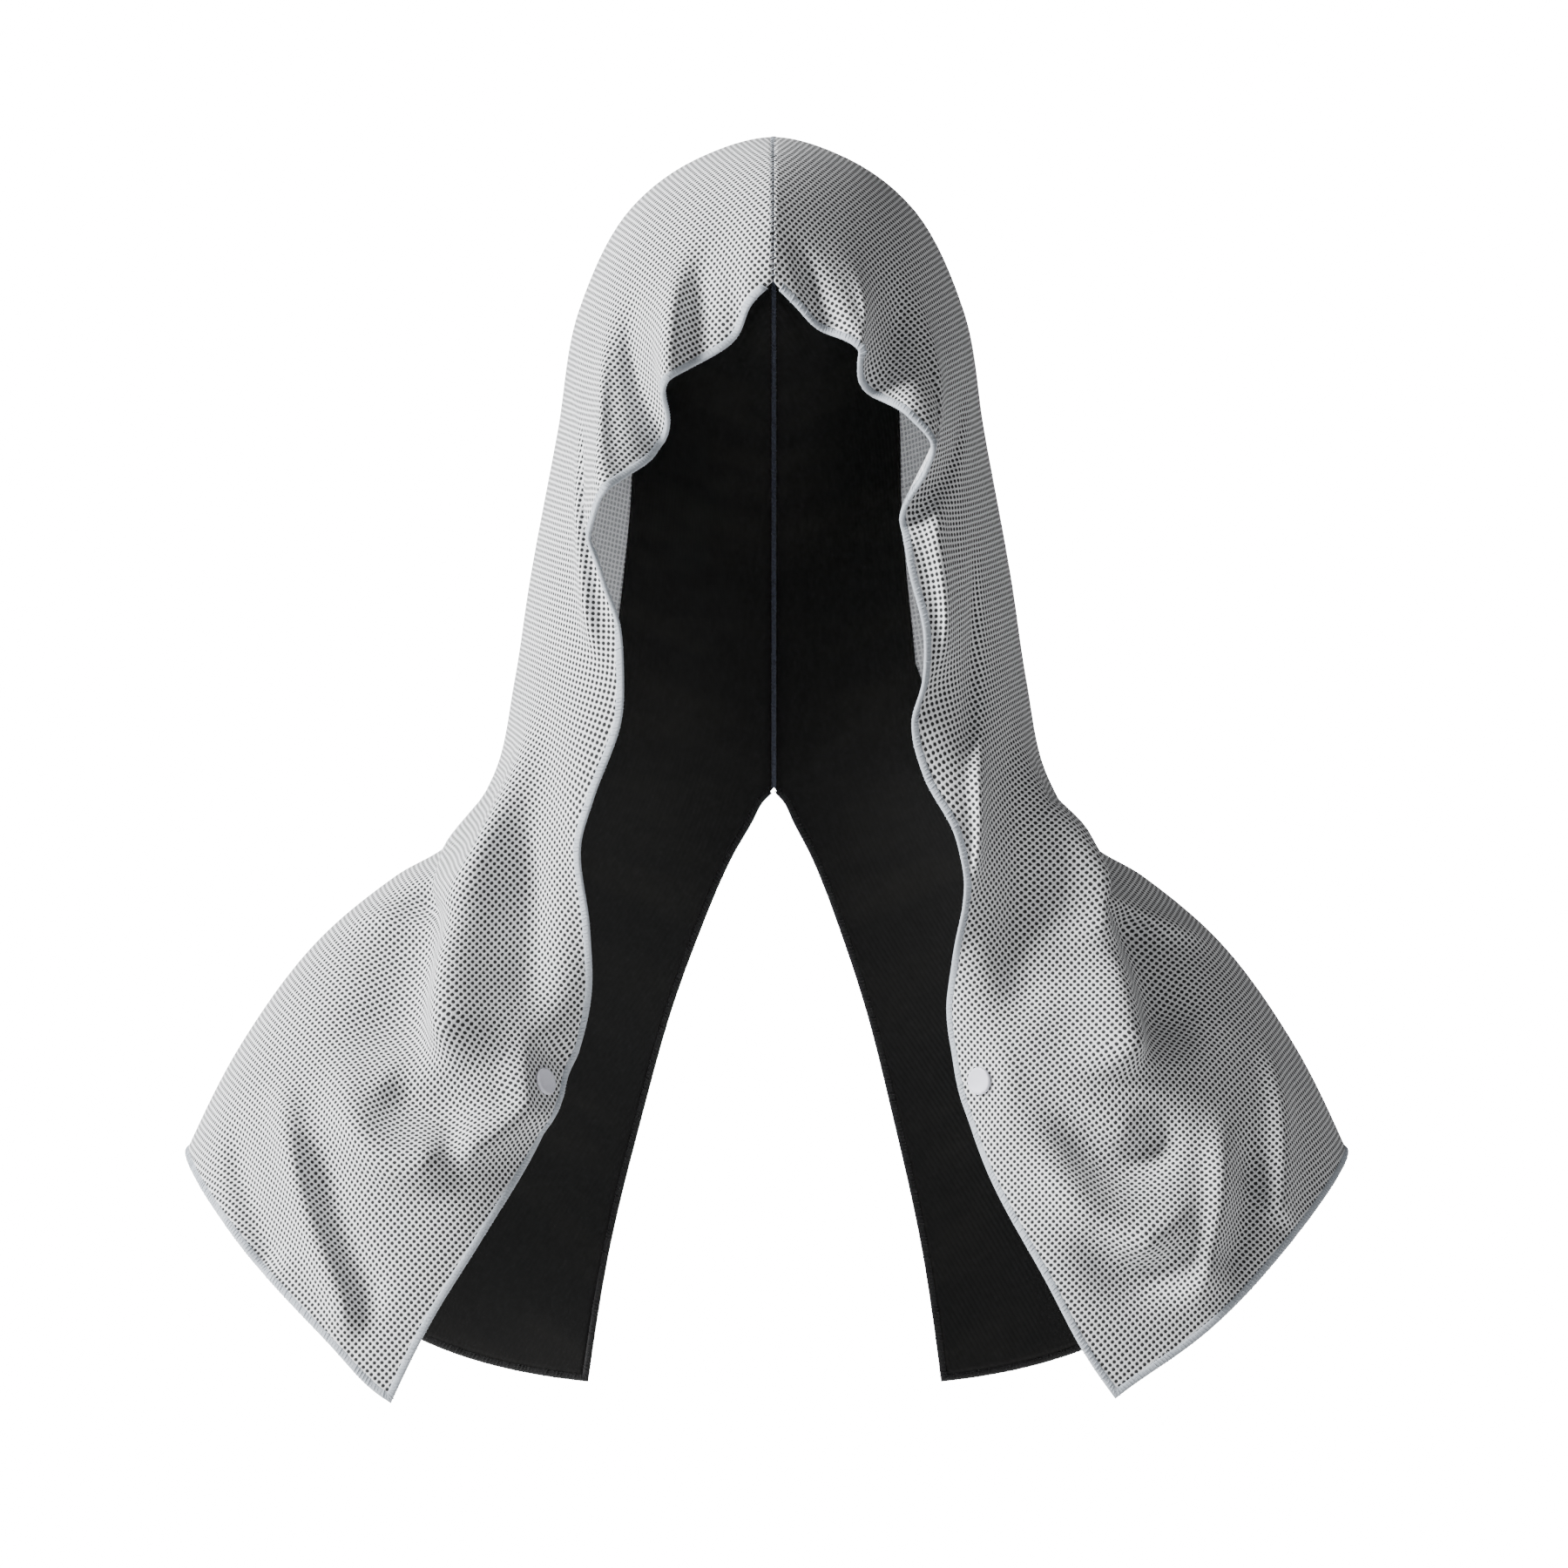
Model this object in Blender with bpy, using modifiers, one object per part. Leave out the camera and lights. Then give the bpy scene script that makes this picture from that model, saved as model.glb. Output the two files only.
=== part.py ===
"""Cooling hooded towel: a hood of perforated mesh that runs down into two cape panels, split at the back.

Metres, +Z up, the face opening to -Y. The origin is inside the top of the crown, on the centre seam.
Each half is one panel of cloth. A place on it is written as two shares: `across`, from the front edge (0)
round the side to the centre of the back (1), and `level`, from the crown seam (0) down to the hem (1).
"""

import math
from collections import namedtuple

import bmesh
import bpy
import numpy as np
from mathutils import Vector

# Outside sizes as it hangs
HEIGHT = 0.580
HALF_WIDTH = 0.270
HALF_DEPTH = 0.115
PANEL_LENGTH = 0.573

# Cloth
SHELL_WALL = 0.0012
LINING_WALL = 0.0010
GAP = 0.0003
LINING_FROM = {-1: 0.69, 1: 0.72}  # share across at which the lining starts

# Overlocked edges, each wrapped round the cloth's own edge
HEM_WIDTH = 0.0035
HEM_WALL = 0.0005
HEM_GAP = 0.00065
HEM_HEAD = 0.15  # share of the first row's height at which the front edges start, clear of each other
HEM_FROM = HEM_GAP + HEM_WALL  # from the towel's outline to the cloth's own edge
HEM_SPLIT = 0.44  # share across at which the light edge gives way to the dark one
LINING_FROM_HEM = 0.0008

# Ridge of the centre seam, inside the lining
SEAM_RADIUS = 0.0011
SEAM_SINK = 0.0016  # how far inside the lining's own face its centre line runs

# Fullness of folds: the tables below give shares of these
FOLD_REACH = 0.015
FOLD_DEPTH = 0.018
EDGE_REACH = 0.034  # how far the turns of the front edge carry into the cloth
TUCK_REACH = 0.030  # the same for how far the edge is tucked back

# Snaps
SNAP_LEVEL = {-1: 0.727, 1: 0.733}
SNAP_INSET = 0.0115  # from the front edge to the middle of the cap
SNAP_CAP = 0.0062  # radius
SNAP_CAP_THICKNESS = 0.0013
SNAP_POST = 0.0021  # radius
SNAP_SOCKET = 0.0048  # radius
SNAP_SOCKET_THICKNESS = 0.0022
SNAP_HOLE = SNAP_POST + GAP
SNAP_STAND = 0.0009  # room for the cloth's curve under the cap and over the socket
SNAP_FLAT = 0.012  # how far round it the cloth lies flat

# Rows of the panel. Out is a share of HALF_WIDTH, fore and aft of HALF_DEPTH, drop of HEIGHT.
# Slant turns the row back at its front edge: at 0 it starts straight across, and 1 would run it straight to the
# side. Full rounds the row behind: 1 is a plain quarter ellipse. Bulge rounds the row's hang at the back.
Section = namedtuple(
    "Section",
    "level edge_out edge_fore edge_drop slant side_out side_fore side_drop back_aft back_drop full bulge",
)
SECTIONS = (
    Section(0.00, 0.000, 1.000, 0.128, 0.00, 0.000, 0.043, -0.002, 0.835, 0.107, 0.15, 0.00),
    Section(0.06, 0.070, 0.983, 0.167, 0.10, 0.126, 0.043, 0.014, 0.922, 0.164, 0.30, 0.00),
    Section(0.13, 0.163, 0.948, 0.216, 0.20, 0.241, 0.035, 0.053, 0.974, 0.229, 0.62, 0.00),
    Section(0.22, 0.244, 0.913, 0.281, 0.30, 0.330, 0.017, 0.133, 0.974, 0.312, 0.85, 0.00),
    Section(0.32, 0.267, 0.870, 0.371, 0.35, 0.367, 0.000, 0.229, 0.922, 0.402, 1.00, 0.00),
    Section(0.44, 0.267, 0.826, 0.490, 0.35, 0.415, -0.017, 0.348, 0.861, 0.512, 1.00, 0.00),
    Section(0.52, 0.296, 0.809, 0.560, 0.35, 0.441, -0.035, 0.426, 0.861, 0.574, 1.00, 0.00),
    Section(0.60, 0.311, 0.826, 0.634, 0.30, 0.478, -0.052, 0.502, 0.896, 0.643, 1.00, 0.10),
    Section(0.66, 0.311, 0.861, 0.693, 0.30, 0.548, -0.070, 0.553, 0.922, 0.695, 1.00, 0.20),
    Section(0.72, 0.333, 0.896, 0.748, 0.25, 0.644, -0.070, 0.581, 0.948, 0.748, 1.00, 0.35),
    Section(0.80, 0.400, 0.930, 0.817, 0.15, 0.774, -0.070, 0.631, 0.957, 0.819, 1.00, 0.50),
    Section(0.90, 0.496, 0.957, 0.900, 0.05, 0.904, -0.052, 0.712, 0.939, 0.909, 1.00, 0.65),
    Section(1.00, 0.593, 0.957, 0.979, 0.00, 1.000, -0.035, 0.800, 0.904, 0.998, 1.00, 0.77),
)
FRONT_BULGE = {-1: 0.38, 1: 0.18}
SIDE_SPREAD = {-1: 1.0, 1: 0.977}
BACK_SPREAD = {-1: 1.0, 1: 0.9}
SPLIT_LEVEL = 0.44

# Back split: how far each edge of it stands from the middle
Spread = namedtuple("Spread", "level out")
SPLIT = (
    Spread(SPLIT_LEVEL, 0.000),
    Spread(0.455, 0.020),
    Spread(0.475, 0.037),
    Spread(0.510, 0.070),
    Spread(0.580, 0.126),
    Spread(0.650, 0.174),
    Spread(0.760, 0.233),
    Spread(0.880, 0.289),
    Spread(1.000, 0.326),
)

# Turns of each front edge. Back is how far it is tucked behind its row.
Turn = namedtuple("Turn", "level out back drop")
TURNS = {
    -1: (
        Turn(0.000, 0.000, 0.00, 0.128),
        Turn(0.030, 0.041, 0.00, 0.147),
        Turn(0.055, 0.061, 0.04, 0.169),
        Turn(0.095, 0.130, -0.05, 0.190),
        Turn(0.130, 0.180, -0.03, 0.210),
        Turn(0.155, 0.174, 0.05, 0.234),
        Turn(0.180, 0.193, 0.03, 0.257),
        Turn(0.210, 0.244, -0.05, 0.276),
        Turn(0.240, 0.285, -0.05, 0.293),
        Turn(0.265, 0.296, 0.00, 0.317),
        Turn(0.310, 0.278, 0.06, 0.360),
        Turn(0.340, 0.256, 0.08, 0.388),
        Turn(0.380, 0.248, 0.07, 0.428),
        Turn(0.420, 0.252, 0.06, 0.462),
        Turn(0.480, 0.298, 0.03, 0.521),
        Turn(0.520, 0.319, 0.05, 0.555),
        Turn(0.590, 0.304, 0.14, 0.624),
        Turn(0.635, 0.300, 0.24, 0.666),
        Turn(0.690, 0.322, 0.34, 0.716),
        Turn(0.760, 0.381, 0.27, 0.781),
        Turn(0.860, 0.483, 0.06, 0.861),
        Turn(0.920, 0.554, 0.00, 0.914),
        Turn(1.000, 0.626, 0.00, 0.981),
    ),
    1: (
        Turn(0.000, 0.000, 0.00, 0.128),
        Turn(0.030, 0.041, 0.00, 0.147),
        Turn(0.050, 0.070, -0.02, 0.160),
        Turn(0.085, 0.137, -0.05, 0.178),
        Turn(0.115, 0.146, 0.05, 0.203),
        Turn(0.160, 0.222, -0.04, 0.229),
        Turn(0.190, 0.263, -0.05, 0.252),
        Turn(0.215, 0.252, 0.00, 0.272),
        Turn(0.250, 0.215, 0.08, 0.302),
        Turn(0.290, 0.222, 0.09, 0.340),
        Turn(0.350, 0.250, 0.06, 0.397),
        Turn(0.390, 0.248, 0.06, 0.434),
        Turn(0.430, 0.230, 0.10, 0.469),
        Turn(0.465, 0.248, 0.09, 0.502),
        Turn(0.520, 0.302, 0.03, 0.550),
        Turn(0.570, 0.317, 0.08, 0.595),
        Turn(0.625, 0.296, 0.22, 0.648),
        Turn(0.660, 0.287, 0.30, 0.679),
        Turn(0.730, 0.311, 0.34, 0.748),
        Turn(0.790, 0.348, 0.25, 0.802),
        Turn(0.890, 0.446, 0.06, 0.888),
        Turn(0.980, 0.533, 0.00, 0.960),
        Turn(1.000, 0.561, 0.00, 0.978),
    ),
}

# Folds of each half: places as (across, level) at the start, half way and at the end; reach as a share of
# FOLD_REACH; pushes as shares of FOLD_DEPTH (back is into the towel); fades as shares of the fold's length.
Fold = namedtuple("Fold", "start through end reach out back drop fade_in fade_out")
FOLDS = {
    -1: (
        # hood front
        Fold((0.01, 0.09), (0.10, 0.08), (0.18, 0.07), 0.60, 0.00, 0.33, 0, 0.0, 0.6),
        Fold((0.02, 0.12), (0.11, 0.11), (0.19, 0.10), 0.55, 0.00, -0.28, 0, 0.0, 0.6),
        Fold((0.01, 0.17), (0.12, 0.17), (0.21, 0.14), 0.67, 0.00, 0.42, 0, 0.0, 0.6),
        Fold((0.01, 0.23), (0.14, 0.22), (0.24, 0.16), 0.67, 0.00, -0.38, 0, 0.0, 0.6),
        Fold((0.00, 0.27), (0.14, 0.26), (0.20, 0.20), 0.60, 0.10, 0.28, 0, 0.0, 0.6),
        Fold((0.09, 0.41), (0.14, 0.34), (0.24, 0.25), 0.73, 0.10, -0.28, 0, 0.3, 0.4),
        # column in front of the shoulder, with the hollow outside it
        Fold((0.19, 0.49), (0.26, 0.64), (0.12, 0.77), 1.45, 0.25, -0.72, 0, 0.5, 0.20),
        Fold((0.40, 0.60), (0.34, 0.65), (0.24, 0.69), 1.40, 0.30, -0.10, 0.1, 0.4, 0.4),
        Fold((0.23, 0.57), (0.14, 0.64), (0.10, 0.72), 1.00, 0.00, 0.35, 0, 0.4, 0.3),
        Fold((0.37, 0.68), (0.27, 0.74), (0.19, 0.82), 2.20, 0.00, 0.66, 0, 0.3, 0.25),
        Fold((0.48, 0.78), (0.33, 0.73), (0.24, 0.69), 0.90, 0.00, -0.34, 0, 0.4, 0.3),
        # swags that hang from the snap
        Fold((0.28, 0.83), (0.17, 0.86), (0.08, 0.81), 0.85, 0.00, -0.50, 0, 0.4, 0.2),
        Fold((0.10, 0.82), (0.05, 0.78), (0.02, 0.72), 0.85, 0.00, -0.40, 0, 0.3, 0.2),
        Fold((0.21, 0.82), (0.15, 0.81), (0.06, 0.77), 0.85, 0.00, 0.36, 0, 0.4, 0.4),
        # ridges down to the hem
        Fold((0.33, 0.88), (0.20, 0.93), (0.06, 0.98), 0.75, 0.00, -0.50, 0, 0.3, 0.15),
        Fold((0.24, 0.88), (0.15, 0.93), (0.05, 0.96), 0.90, 0.00, 0.30, 0, 0.3, 0.2),
        Fold((0.36, 0.94), (0.25, 0.97), (0.18, 0.99), 0.70, 0.00, 0.36, 0, 0.3, 0.2),
    ),
    1: (
        # hood front
        Fold((0.01, 0.06), (0.06, 0.04), (0.12, 0.03), 0.60, 0.00, 0.28, 0, 0.0, 0.6),
        Fold((0.02, 0.10), (0.09, 0.10), (0.15, 0.08), 0.55, 0.00, -0.33, 0, 0.0, 0.6),
        Fold((0.01, 0.13), (0.11, 0.14), (0.21, 0.12), 0.70, 0.00, 0.44, 0, 0.0, 0.6),
        Fold((0.06, 0.22), (0.14, 0.20), (0.23, 0.13), 0.65, 0.06, -0.38, 0, 0.0, 0.6),
        Fold((0.01, 0.26), (0.16, 0.27), (0.30, 0.22), 0.70, 0.00, 0.33, 0, 0.0, 0.6),
        Fold((0.09, 0.43), (0.08, 0.33), (0.10, 0.26), 0.65, 0.00, -0.33, 0, 0.3, 0.4),
        Fold((0.09, 0.52), (0.15, 0.44), (0.20, 0.33), 0.65, 0.00, 0.28, 0, 0.3, 0.4),
        Fold((0.02, 0.58), (0.09, 0.53), (0.17, 0.45), 0.65, 0.00, -0.33, 0, 0.3, 0.4),
        # column in front of the shoulder, with the hollow outside it
        Fold((0.25, 0.52), (0.27, 0.66), (0.15, 0.80), 1.45, 0.25, -0.75, 0, 0.45, 0.20),
        Fold((0.33, 0.59), (0.31, 0.63), (0.22, 0.69), 1.40, 0.28, -0.10, 0.1, 0.4, 0.4),
        Fold((0.20, 0.59), (0.14, 0.66), (0.11, 0.73), 1.05, 0.00, 0.33, 0, 0.4, 0.3),
        Fold((0.30, 0.69), (0.26, 0.76), (0.21, 0.82), 2.10, 0.00, 0.62, 0, 0.3, 0.3),
        Fold((0.33, 0.64), (0.35, 0.73), (0.46, 0.81), 0.90, 0.00, -0.36, 0, 0.3, 0.4),
        # swags across the panel
        Fold((0.08, 0.74), (0.11, 0.85), (0.20, 0.84), 0.80, 0.00, 0.55, 0, 0.35, 0.25),
        Fold((0.07, 0.77), (0.08, 0.90), (0.20, 0.89), 0.80, 0.00, -0.44, 0, 0.3, 0.4),
        Fold((0.06, 0.82), (0.07, 0.93), (0.13, 0.91), 0.80, 0.00, 0.44, 0, 0.3, 0.35),
        # pleats down to the hem
        Fold((0.24, 0.87), (0.18, 0.93), (0.09, 0.98), 0.75, 0.00, -0.40, 0, 0.4, 0.2),
        Fold((0.26, 0.90), (0.20, 0.95), (0.13, 0.97), 0.70, 0.00, 0.33, 0, 0.3, 0.2),
        Fold((0.38, 0.86), (0.30, 0.93), (0.22, 0.98), 0.75, 0.00, -0.38, 0, 0.4, 0.1),
    ),
}

# Where the cloth's mesh has its lines: close in the folds, wide over the plain back
ACROSS_LINES = (0.030, 0.055, 0.080, 0.110, 0.140, 0.170, 0.20, 0.24, 0.28, 0.33, 0.38, HEM_SPLIT, 0.52, 0.60)
LINING_LINES = 3
SPLIT_LINES = (0.447, 0.455, 0.465, 0.480)


def smooth(knots, values, at):
    """Values at `at` on a curve through the knots, each slope taken from its neighbours."""
    knots = np.asarray(knots, float)
    values = np.asarray(values, float)
    flat = values.reshape(len(knots), -1)
    step = np.diff(knots)[:, None]
    rise = np.diff(flat, axis=0) / step
    slope = np.empty_like(flat)
    slope[1:-1] = (rise[:-1] * step[1:] + rise[1:] * step[:-1]) / (step[:-1] + step[1:])
    slope[0] = 1.5 * rise[0] - 0.5 * slope[1]
    slope[-1] = 1.5 * rise[-1] - 0.5 * slope[-2]
    at = np.asarray(at, float)
    i = np.clip(np.searchsorted(knots, at, side="right") - 1, 0, len(knots) - 2)
    h = step[i, 0][:, None]
    t = (at - knots[i])[:, None] / h
    out = (2 * t**3 - 3 * t**2 + 1) * flat[i] + (t**3 - 2 * t**2 + t) * h * slope[i]
    out += (3 * t**2 - 2 * t**3) * flat[i + 1] + (t**3 - t**2) * h * slope[i + 1]
    return out.reshape(at.shape + values.shape[1:])


def ease(t):
    t = np.clip(t, 0, 1)
    return t * t * (3 - 2 * t)


def plain_rows(side, levels, count=161):
    """The row at each level before its folds: one quarter round from edge to side, one from side to back."""
    at = [s.level for s in SECTIONS]
    edge = smooth(at, [(s.edge_out, -s.edge_fore, s.edge_drop) for s in SECTIONS], levels)
    flank = [(s.side_out, -s.side_fore, s.side_drop) for s in SECTIONS]
    over_the_crown = (-flank[1][0],) + flank[1][1:]
    flank = smooth([-at[1]] + at, [over_the_crown] + flank, levels)
    back = smooth(at, [(0, s.back_aft, s.back_drop) for s in SECTIONS], levels)
    apart = smooth([s.level for s in SPLIT], [s.out for s in SPLIT], np.maximum(levels, SPLIT_LEVEL))
    back[:, 0] = np.maximum(apart, 0) * BACK_SPREAD[side]
    flank[:, 0] *= SIDE_SPREAD[side]
    slant, full, bulge = smooth(at, [(s.slant, s.full, s.bulge) for s in SECTIONS], levels).T[..., None]
    front_bulge = FRONT_BULGE[side] * ease((levels - 0.55) / 0.35)[:, None]
    size = np.array([HALF_WIDTH, HALF_DEPTH, HEIGHT])
    e, f, r = ((p * size)[:, None] for p in (edge, flank, back))
    reach_of_split = 15 - 12 * ease((levels - SPLIT_LEVEL) / 0.15)[:, None]
    turn = np.linspace(0, 2, count)
    a = np.clip(turn, 0, 1) * math.pi / 2
    b = np.clip(turn - 1, 0, 1) * math.pi / 2
    front = turn <= 1
    cos_b = np.clip(np.cos(b), 0, 1)
    x = np.where(
        front,
        f[..., 0] + (e[..., 0] - f[..., 0]) * (1 - np.sin(a)),
        f[..., 0] * cos_b**full + r[..., 0] * np.sin(b) ** reach_of_split,
    )
    y = np.where(
        front,
        f[..., 1] + (e[..., 1] - f[..., 1]) * ((1 - slant) * np.cos(a) + slant * (1 - np.sin(a))),
        f[..., 1] + (r[..., 1] - f[..., 1]) * np.sin(b),
    )
    hang_front = 1 - np.sin(a)
    hang_front = hang_front + front_bulge * hang_front * (1 - hang_front)
    hang_back = 1 - cos_b
    hang_back = hang_back + bulge * hang_back * (1 - hang_back)
    drop = np.where(
        front,
        f[..., 2] + (e[..., 2] - f[..., 2]) * hang_front,
        f[..., 2] + (r[..., 2] - f[..., 2]) * hang_back,
    )
    return np.stack([x, y, -drop], -1)


def lengths_along(rows):
    steps = np.linalg.norm(np.diff(rows, axis=1), axis=2)
    return np.concatenate([np.zeros((len(rows), 1)), np.cumsum(steps, axis=1)], axis=1)


def row_length(side, levels):
    return lengths_along(plain_rows(side, np.asarray(levels, float)))[:, -1]


def fold_weight(fold, arc, levels):
    """How strongly a fold takes hold at each place, from its distance to the fold's line."""
    through = 2 * np.array(fold.through) - 0.5 * (np.array(fold.start) + np.array(fold.end))
    s = np.linspace(0, 1, 13)[:, None]
    line = (1 - s) ** 2 * np.array(fold.start) + 2 * s * (1 - s) * through + s**2 * np.array(fold.end)
    row = arc[1]
    here = np.stack([arc[0], np.broadcast_to(levels[:, None] * PANEL_LENGTH, arc[0].shape)], -1)
    nearest = np.full(arc[0].shape, np.inf)
    along = np.zeros(arc[0].shape)
    for k in range(len(line) - 1):
        p = np.stack([line[k, 0] * row, np.full(len(row), line[k, 1] * PANEL_LENGTH)], -1)[:, None]
        q = np.stack([line[k + 1, 0] * row, np.full(len(row), line[k + 1, 1] * PANEL_LENGTH)], -1)[:, None]
        t = ((here - p) * (q - p)).sum(-1) / ((q - p) ** 2).sum(-1)
        t = np.clip(t, 0, 1)
        distance = np.linalg.norm(here - p - t[..., None] * (q - p), axis=-1)
        closer = distance < nearest
        nearest = np.where(closer, distance, nearest)
        along = np.where(closer, (k + t) / (len(line) - 1), along)
    weight = np.exp(-((nearest / (fold.reach * FOLD_REACH)) ** 2))
    if fold.fade_in:
        weight = weight * ease(along / fold.fade_in)
    if fold.fade_out:
        weight = weight * ease((1 - along) / fold.fade_out)
    return weight


def cloth(side, levels, across):
    """Points of the cloth's outer face: across[j] lists the places on the row at levels[j]."""
    levels = np.asarray(levels, float)
    across = np.broadcast_to(np.asarray(across, float), (len(levels), np.shape(across)[-1]))
    rows = plain_rows(side, levels)
    run = lengths_along(rows)
    length = run[:, -1]
    points = np.empty(across.shape + (3,))
    for j in range(len(levels)):
        for k in range(3):
            points[j, :, k] = np.interp(across[j] * length[j], run[j], rows[j, :, k])
    arc = across * length[:, None]
    at = [s.level for s in SECTIONS]
    row_edge = smooth(at, [(s.edge_out, s.edge_drop) for s in SECTIONS], levels)
    own = smooth([t.level for t in TURNS[side]], [t[1:] for t in TURNS[side]], levels)
    near = np.exp(-((arc / EDGE_REACH) ** 2))
    tucked = np.exp(-((arc / TUCK_REACH) ** 1.1))
    points[..., 0] += near * ((own[:, 0] - row_edge[:, 0]) * HALF_WIDTH)[:, None]
    points[..., 1] += tucked * (own[:, 1] * HALF_DEPTH)[:, None]
    points[..., 2] -= near * ((own[:, 2] - row_edge[:, 1]) * HEIGHT)[:, None]
    for fold in FOLDS[side]:
        push = np.array([fold.out, fold.back, -fold.drop]) * FOLD_DEPTH
        points += fold_weight(fold, (arc, length), levels)[..., None] * push
    points[..., 0] *= side
    return points


def cells(side, grid, crossed=None):
    """A mesh through the points of a grid. Each cell is two triangles, cut from its own corner to the far one,
    or the other way where `crossed` says so, as at the top of the back, where both its sides lie on the seam."""
    bm = bmesh.new()
    rows, columns = grid.shape[:2]
    if crossed is None:
        crossed = np.zeros((rows - 1, columns - 1), bool)
        crossed[0, -1] = True
    verts = [[bm.verts.new(p) for p in row] for row in grid]
    for j in range(rows - 1):
        for i in range(columns - 1):
            a, b, c, d = verts[j][i], verts[j + 1][i], verts[j + 1][i + 1], verts[j][i + 1]
            halves = ((a, b, d), (b, c, d)) if crossed[j, i] else ((a, b, c), (a, c, d))
            for half in halves:
                bm.faces.new(half if side > 0 else half[::-1])
    return bm


def outward(side, grid):
    """Unit directions out of the cloth at each point of a grid of its places."""
    bm = cells(side, grid)
    bm.normal_update()
    normal = np.array([vert.normal for vert in bm.verts]).reshape(grid.shape)
    bm.free()
    return normal


def clear_of_centre(side, grid, depth):
    """Keeps a wall that goes `depth` into the grid on its own side of the centre, half a gap from it. Points
    slide there in the wall's own plane."""
    normal = outward(side, grid)
    least = GAP / 2 + depth * np.abs(normal[..., 0])
    slide = side * np.maximum(least - side * grid[..., 0], 0)
    flat = normal * np.array([0, 1, 1])
    moved = grid - flat * (slide * normal[..., 0] / (flat**2).sum(-1))[..., None]
    moved[..., 0] += slide
    return moved


def flat_round_snap(grid, place, out):
    """The cloth lies flat round its snap."""
    away = grid - np.array(place)
    height = away @ np.array(out)
    hold = 1 - ease((np.linalg.norm(away, axis=-1) - SNAP_FLAT) / SNAP_FLAT)
    return grid - (height * hold)[..., None] * np.array(out)


def row_per_width(side, levels):
    """How far along a row goes one unit of width square to the front edge, which the rows meet at a slant."""
    start = cloth(side, levels, [0, 0.01])
    row = start[:, 1] - start[:, 0]
    edge = np.gradient(start[:, 0], axis=0)
    square = np.linalg.norm(np.cross(row, edge), axis=1)
    return 1 / np.clip(square / np.linalg.norm(row, axis=1) / np.linalg.norm(edge, axis=1), 0.5, 1)


def levels_of_cloth():
    """Levels of the cloth's rows, closer by the turns of the hood, the head of the split and the hem."""
    bottom = 1 - HEM_FROM / PANEL_LENGTH
    upper = np.arange(0, 0.29, 0.025)
    middle = np.linspace(0.31, SPLIT_LEVEL, 4)
    lower = np.linspace(0.505, bottom, 19)
    return np.concatenate([upper, middle, SPLIT_LINES, lower[:-1], [bottom - HEM_WIDTH / PANEL_LENGTH, bottom]])


def toward(points, others, distance):
    """Points moved a distance toward the others."""
    way = others - points
    return points + way * (distance / np.linalg.norm(way, axis=-1))[..., None]


def material(name, colour, roughness, metallic=0.0):
    made = bpy.data.materials.new(name)
    made.use_nodes = True
    shader = made.node_tree.nodes["Principled BSDF"]
    shader.inputs["Base Color"].default_value = (*colour, 1)
    shader.inputs["Roughness"].default_value = roughness
    shader.inputs["Metallic"].default_value = metallic
    made.diffuse_color = (*colour, 1)
    return made


def node(name, mesh, surface, collection):
    made = bpy.data.objects.new(name, mesh)
    mesh.materials.append(surface)
    collection.objects.link(made)
    return made


def sheet(name, side, grid, wall, surface, collection, offset=-1.0, crossed=None):
    """Cloth through the points of a grid, its wall put on by thickness."""
    bm = cells(side, grid, crossed)
    mesh = bpy.data.meshes.new(name)
    bm.to_mesh(mesh)
    bm.free()
    for polygon in mesh.polygons:
        polygon.use_smooth = True
    made = node(name, mesh, surface, collection)
    thick = made.modifiers.new("wall", "SOLIDIFY")
    thick.thickness = wall
    thick.offset = offset
    return made


def shell_grid(side):
    """Levels of the outer cloth's rows, and the points of its outer face."""
    levels = levels_of_cloth()
    length = row_length(side, levels)
    below_split = np.clip((levels - SPLIT_LEVEL) / 0.015, 0, 1)
    lining_lines = np.linspace(LINING_FROM[side], 1, LINING_LINES + 1)[:-1]
    places = np.empty((len(levels), len(ACROSS_LINES) + LINING_LINES + 4))
    slanted = row_per_width(side, levels) / length
    places[:, 0] = HEM_FROM * slanted
    places[:, 1] = (HEM_FROM + HEM_WIDTH) * slanted
    places[:, 2:-2] = np.concatenate([ACROSS_LINES, lining_lines])
    places[:, -2] = 1 - (HEM_FROM + HEM_WIDTH) / length
    places[:, -1] = 1 - below_split * HEM_FROM / length
    grid = flat_round_snap(cloth(side, levels, places), *snap_place(side))
    return levels, clear_of_centre(side, grid, SHELL_WALL)


def lining(side, levels, grid, surface, collection):
    """Lies a gap inside the outer cloth, on its mesh lines, and stops short of the overlocked edges."""
    inside = grid - outward(side, grid) * (SHELL_WALL + GAP)
    first = 2 + len(ACROSS_LINES)
    below_split = np.clip((levels - SPLIT_LEVEL) / 0.005, 0, 1)[:, None]
    short = toward(inside[:, -2], inside[:, -3], LINING_FROM_HEM)
    half_way = (short + inside[:, -3]) / 2
    inside[:, -1] += (short - inside[:, -1]) * below_split
    inside[:, -2] += (half_way - inside[:, -2]) * below_split
    inside = inside[:-1, first:]
    inside[-1] = toward(inside[-1], inside[-2], LINING_FROM_HEM)
    inside = clear_of_centre(side, inside, LINING_WALL)
    name = "lining_left" if side < 0 else "lining_right"
    return sheet(name, side, inside, LINING_WALL, surface, collection)


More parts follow.
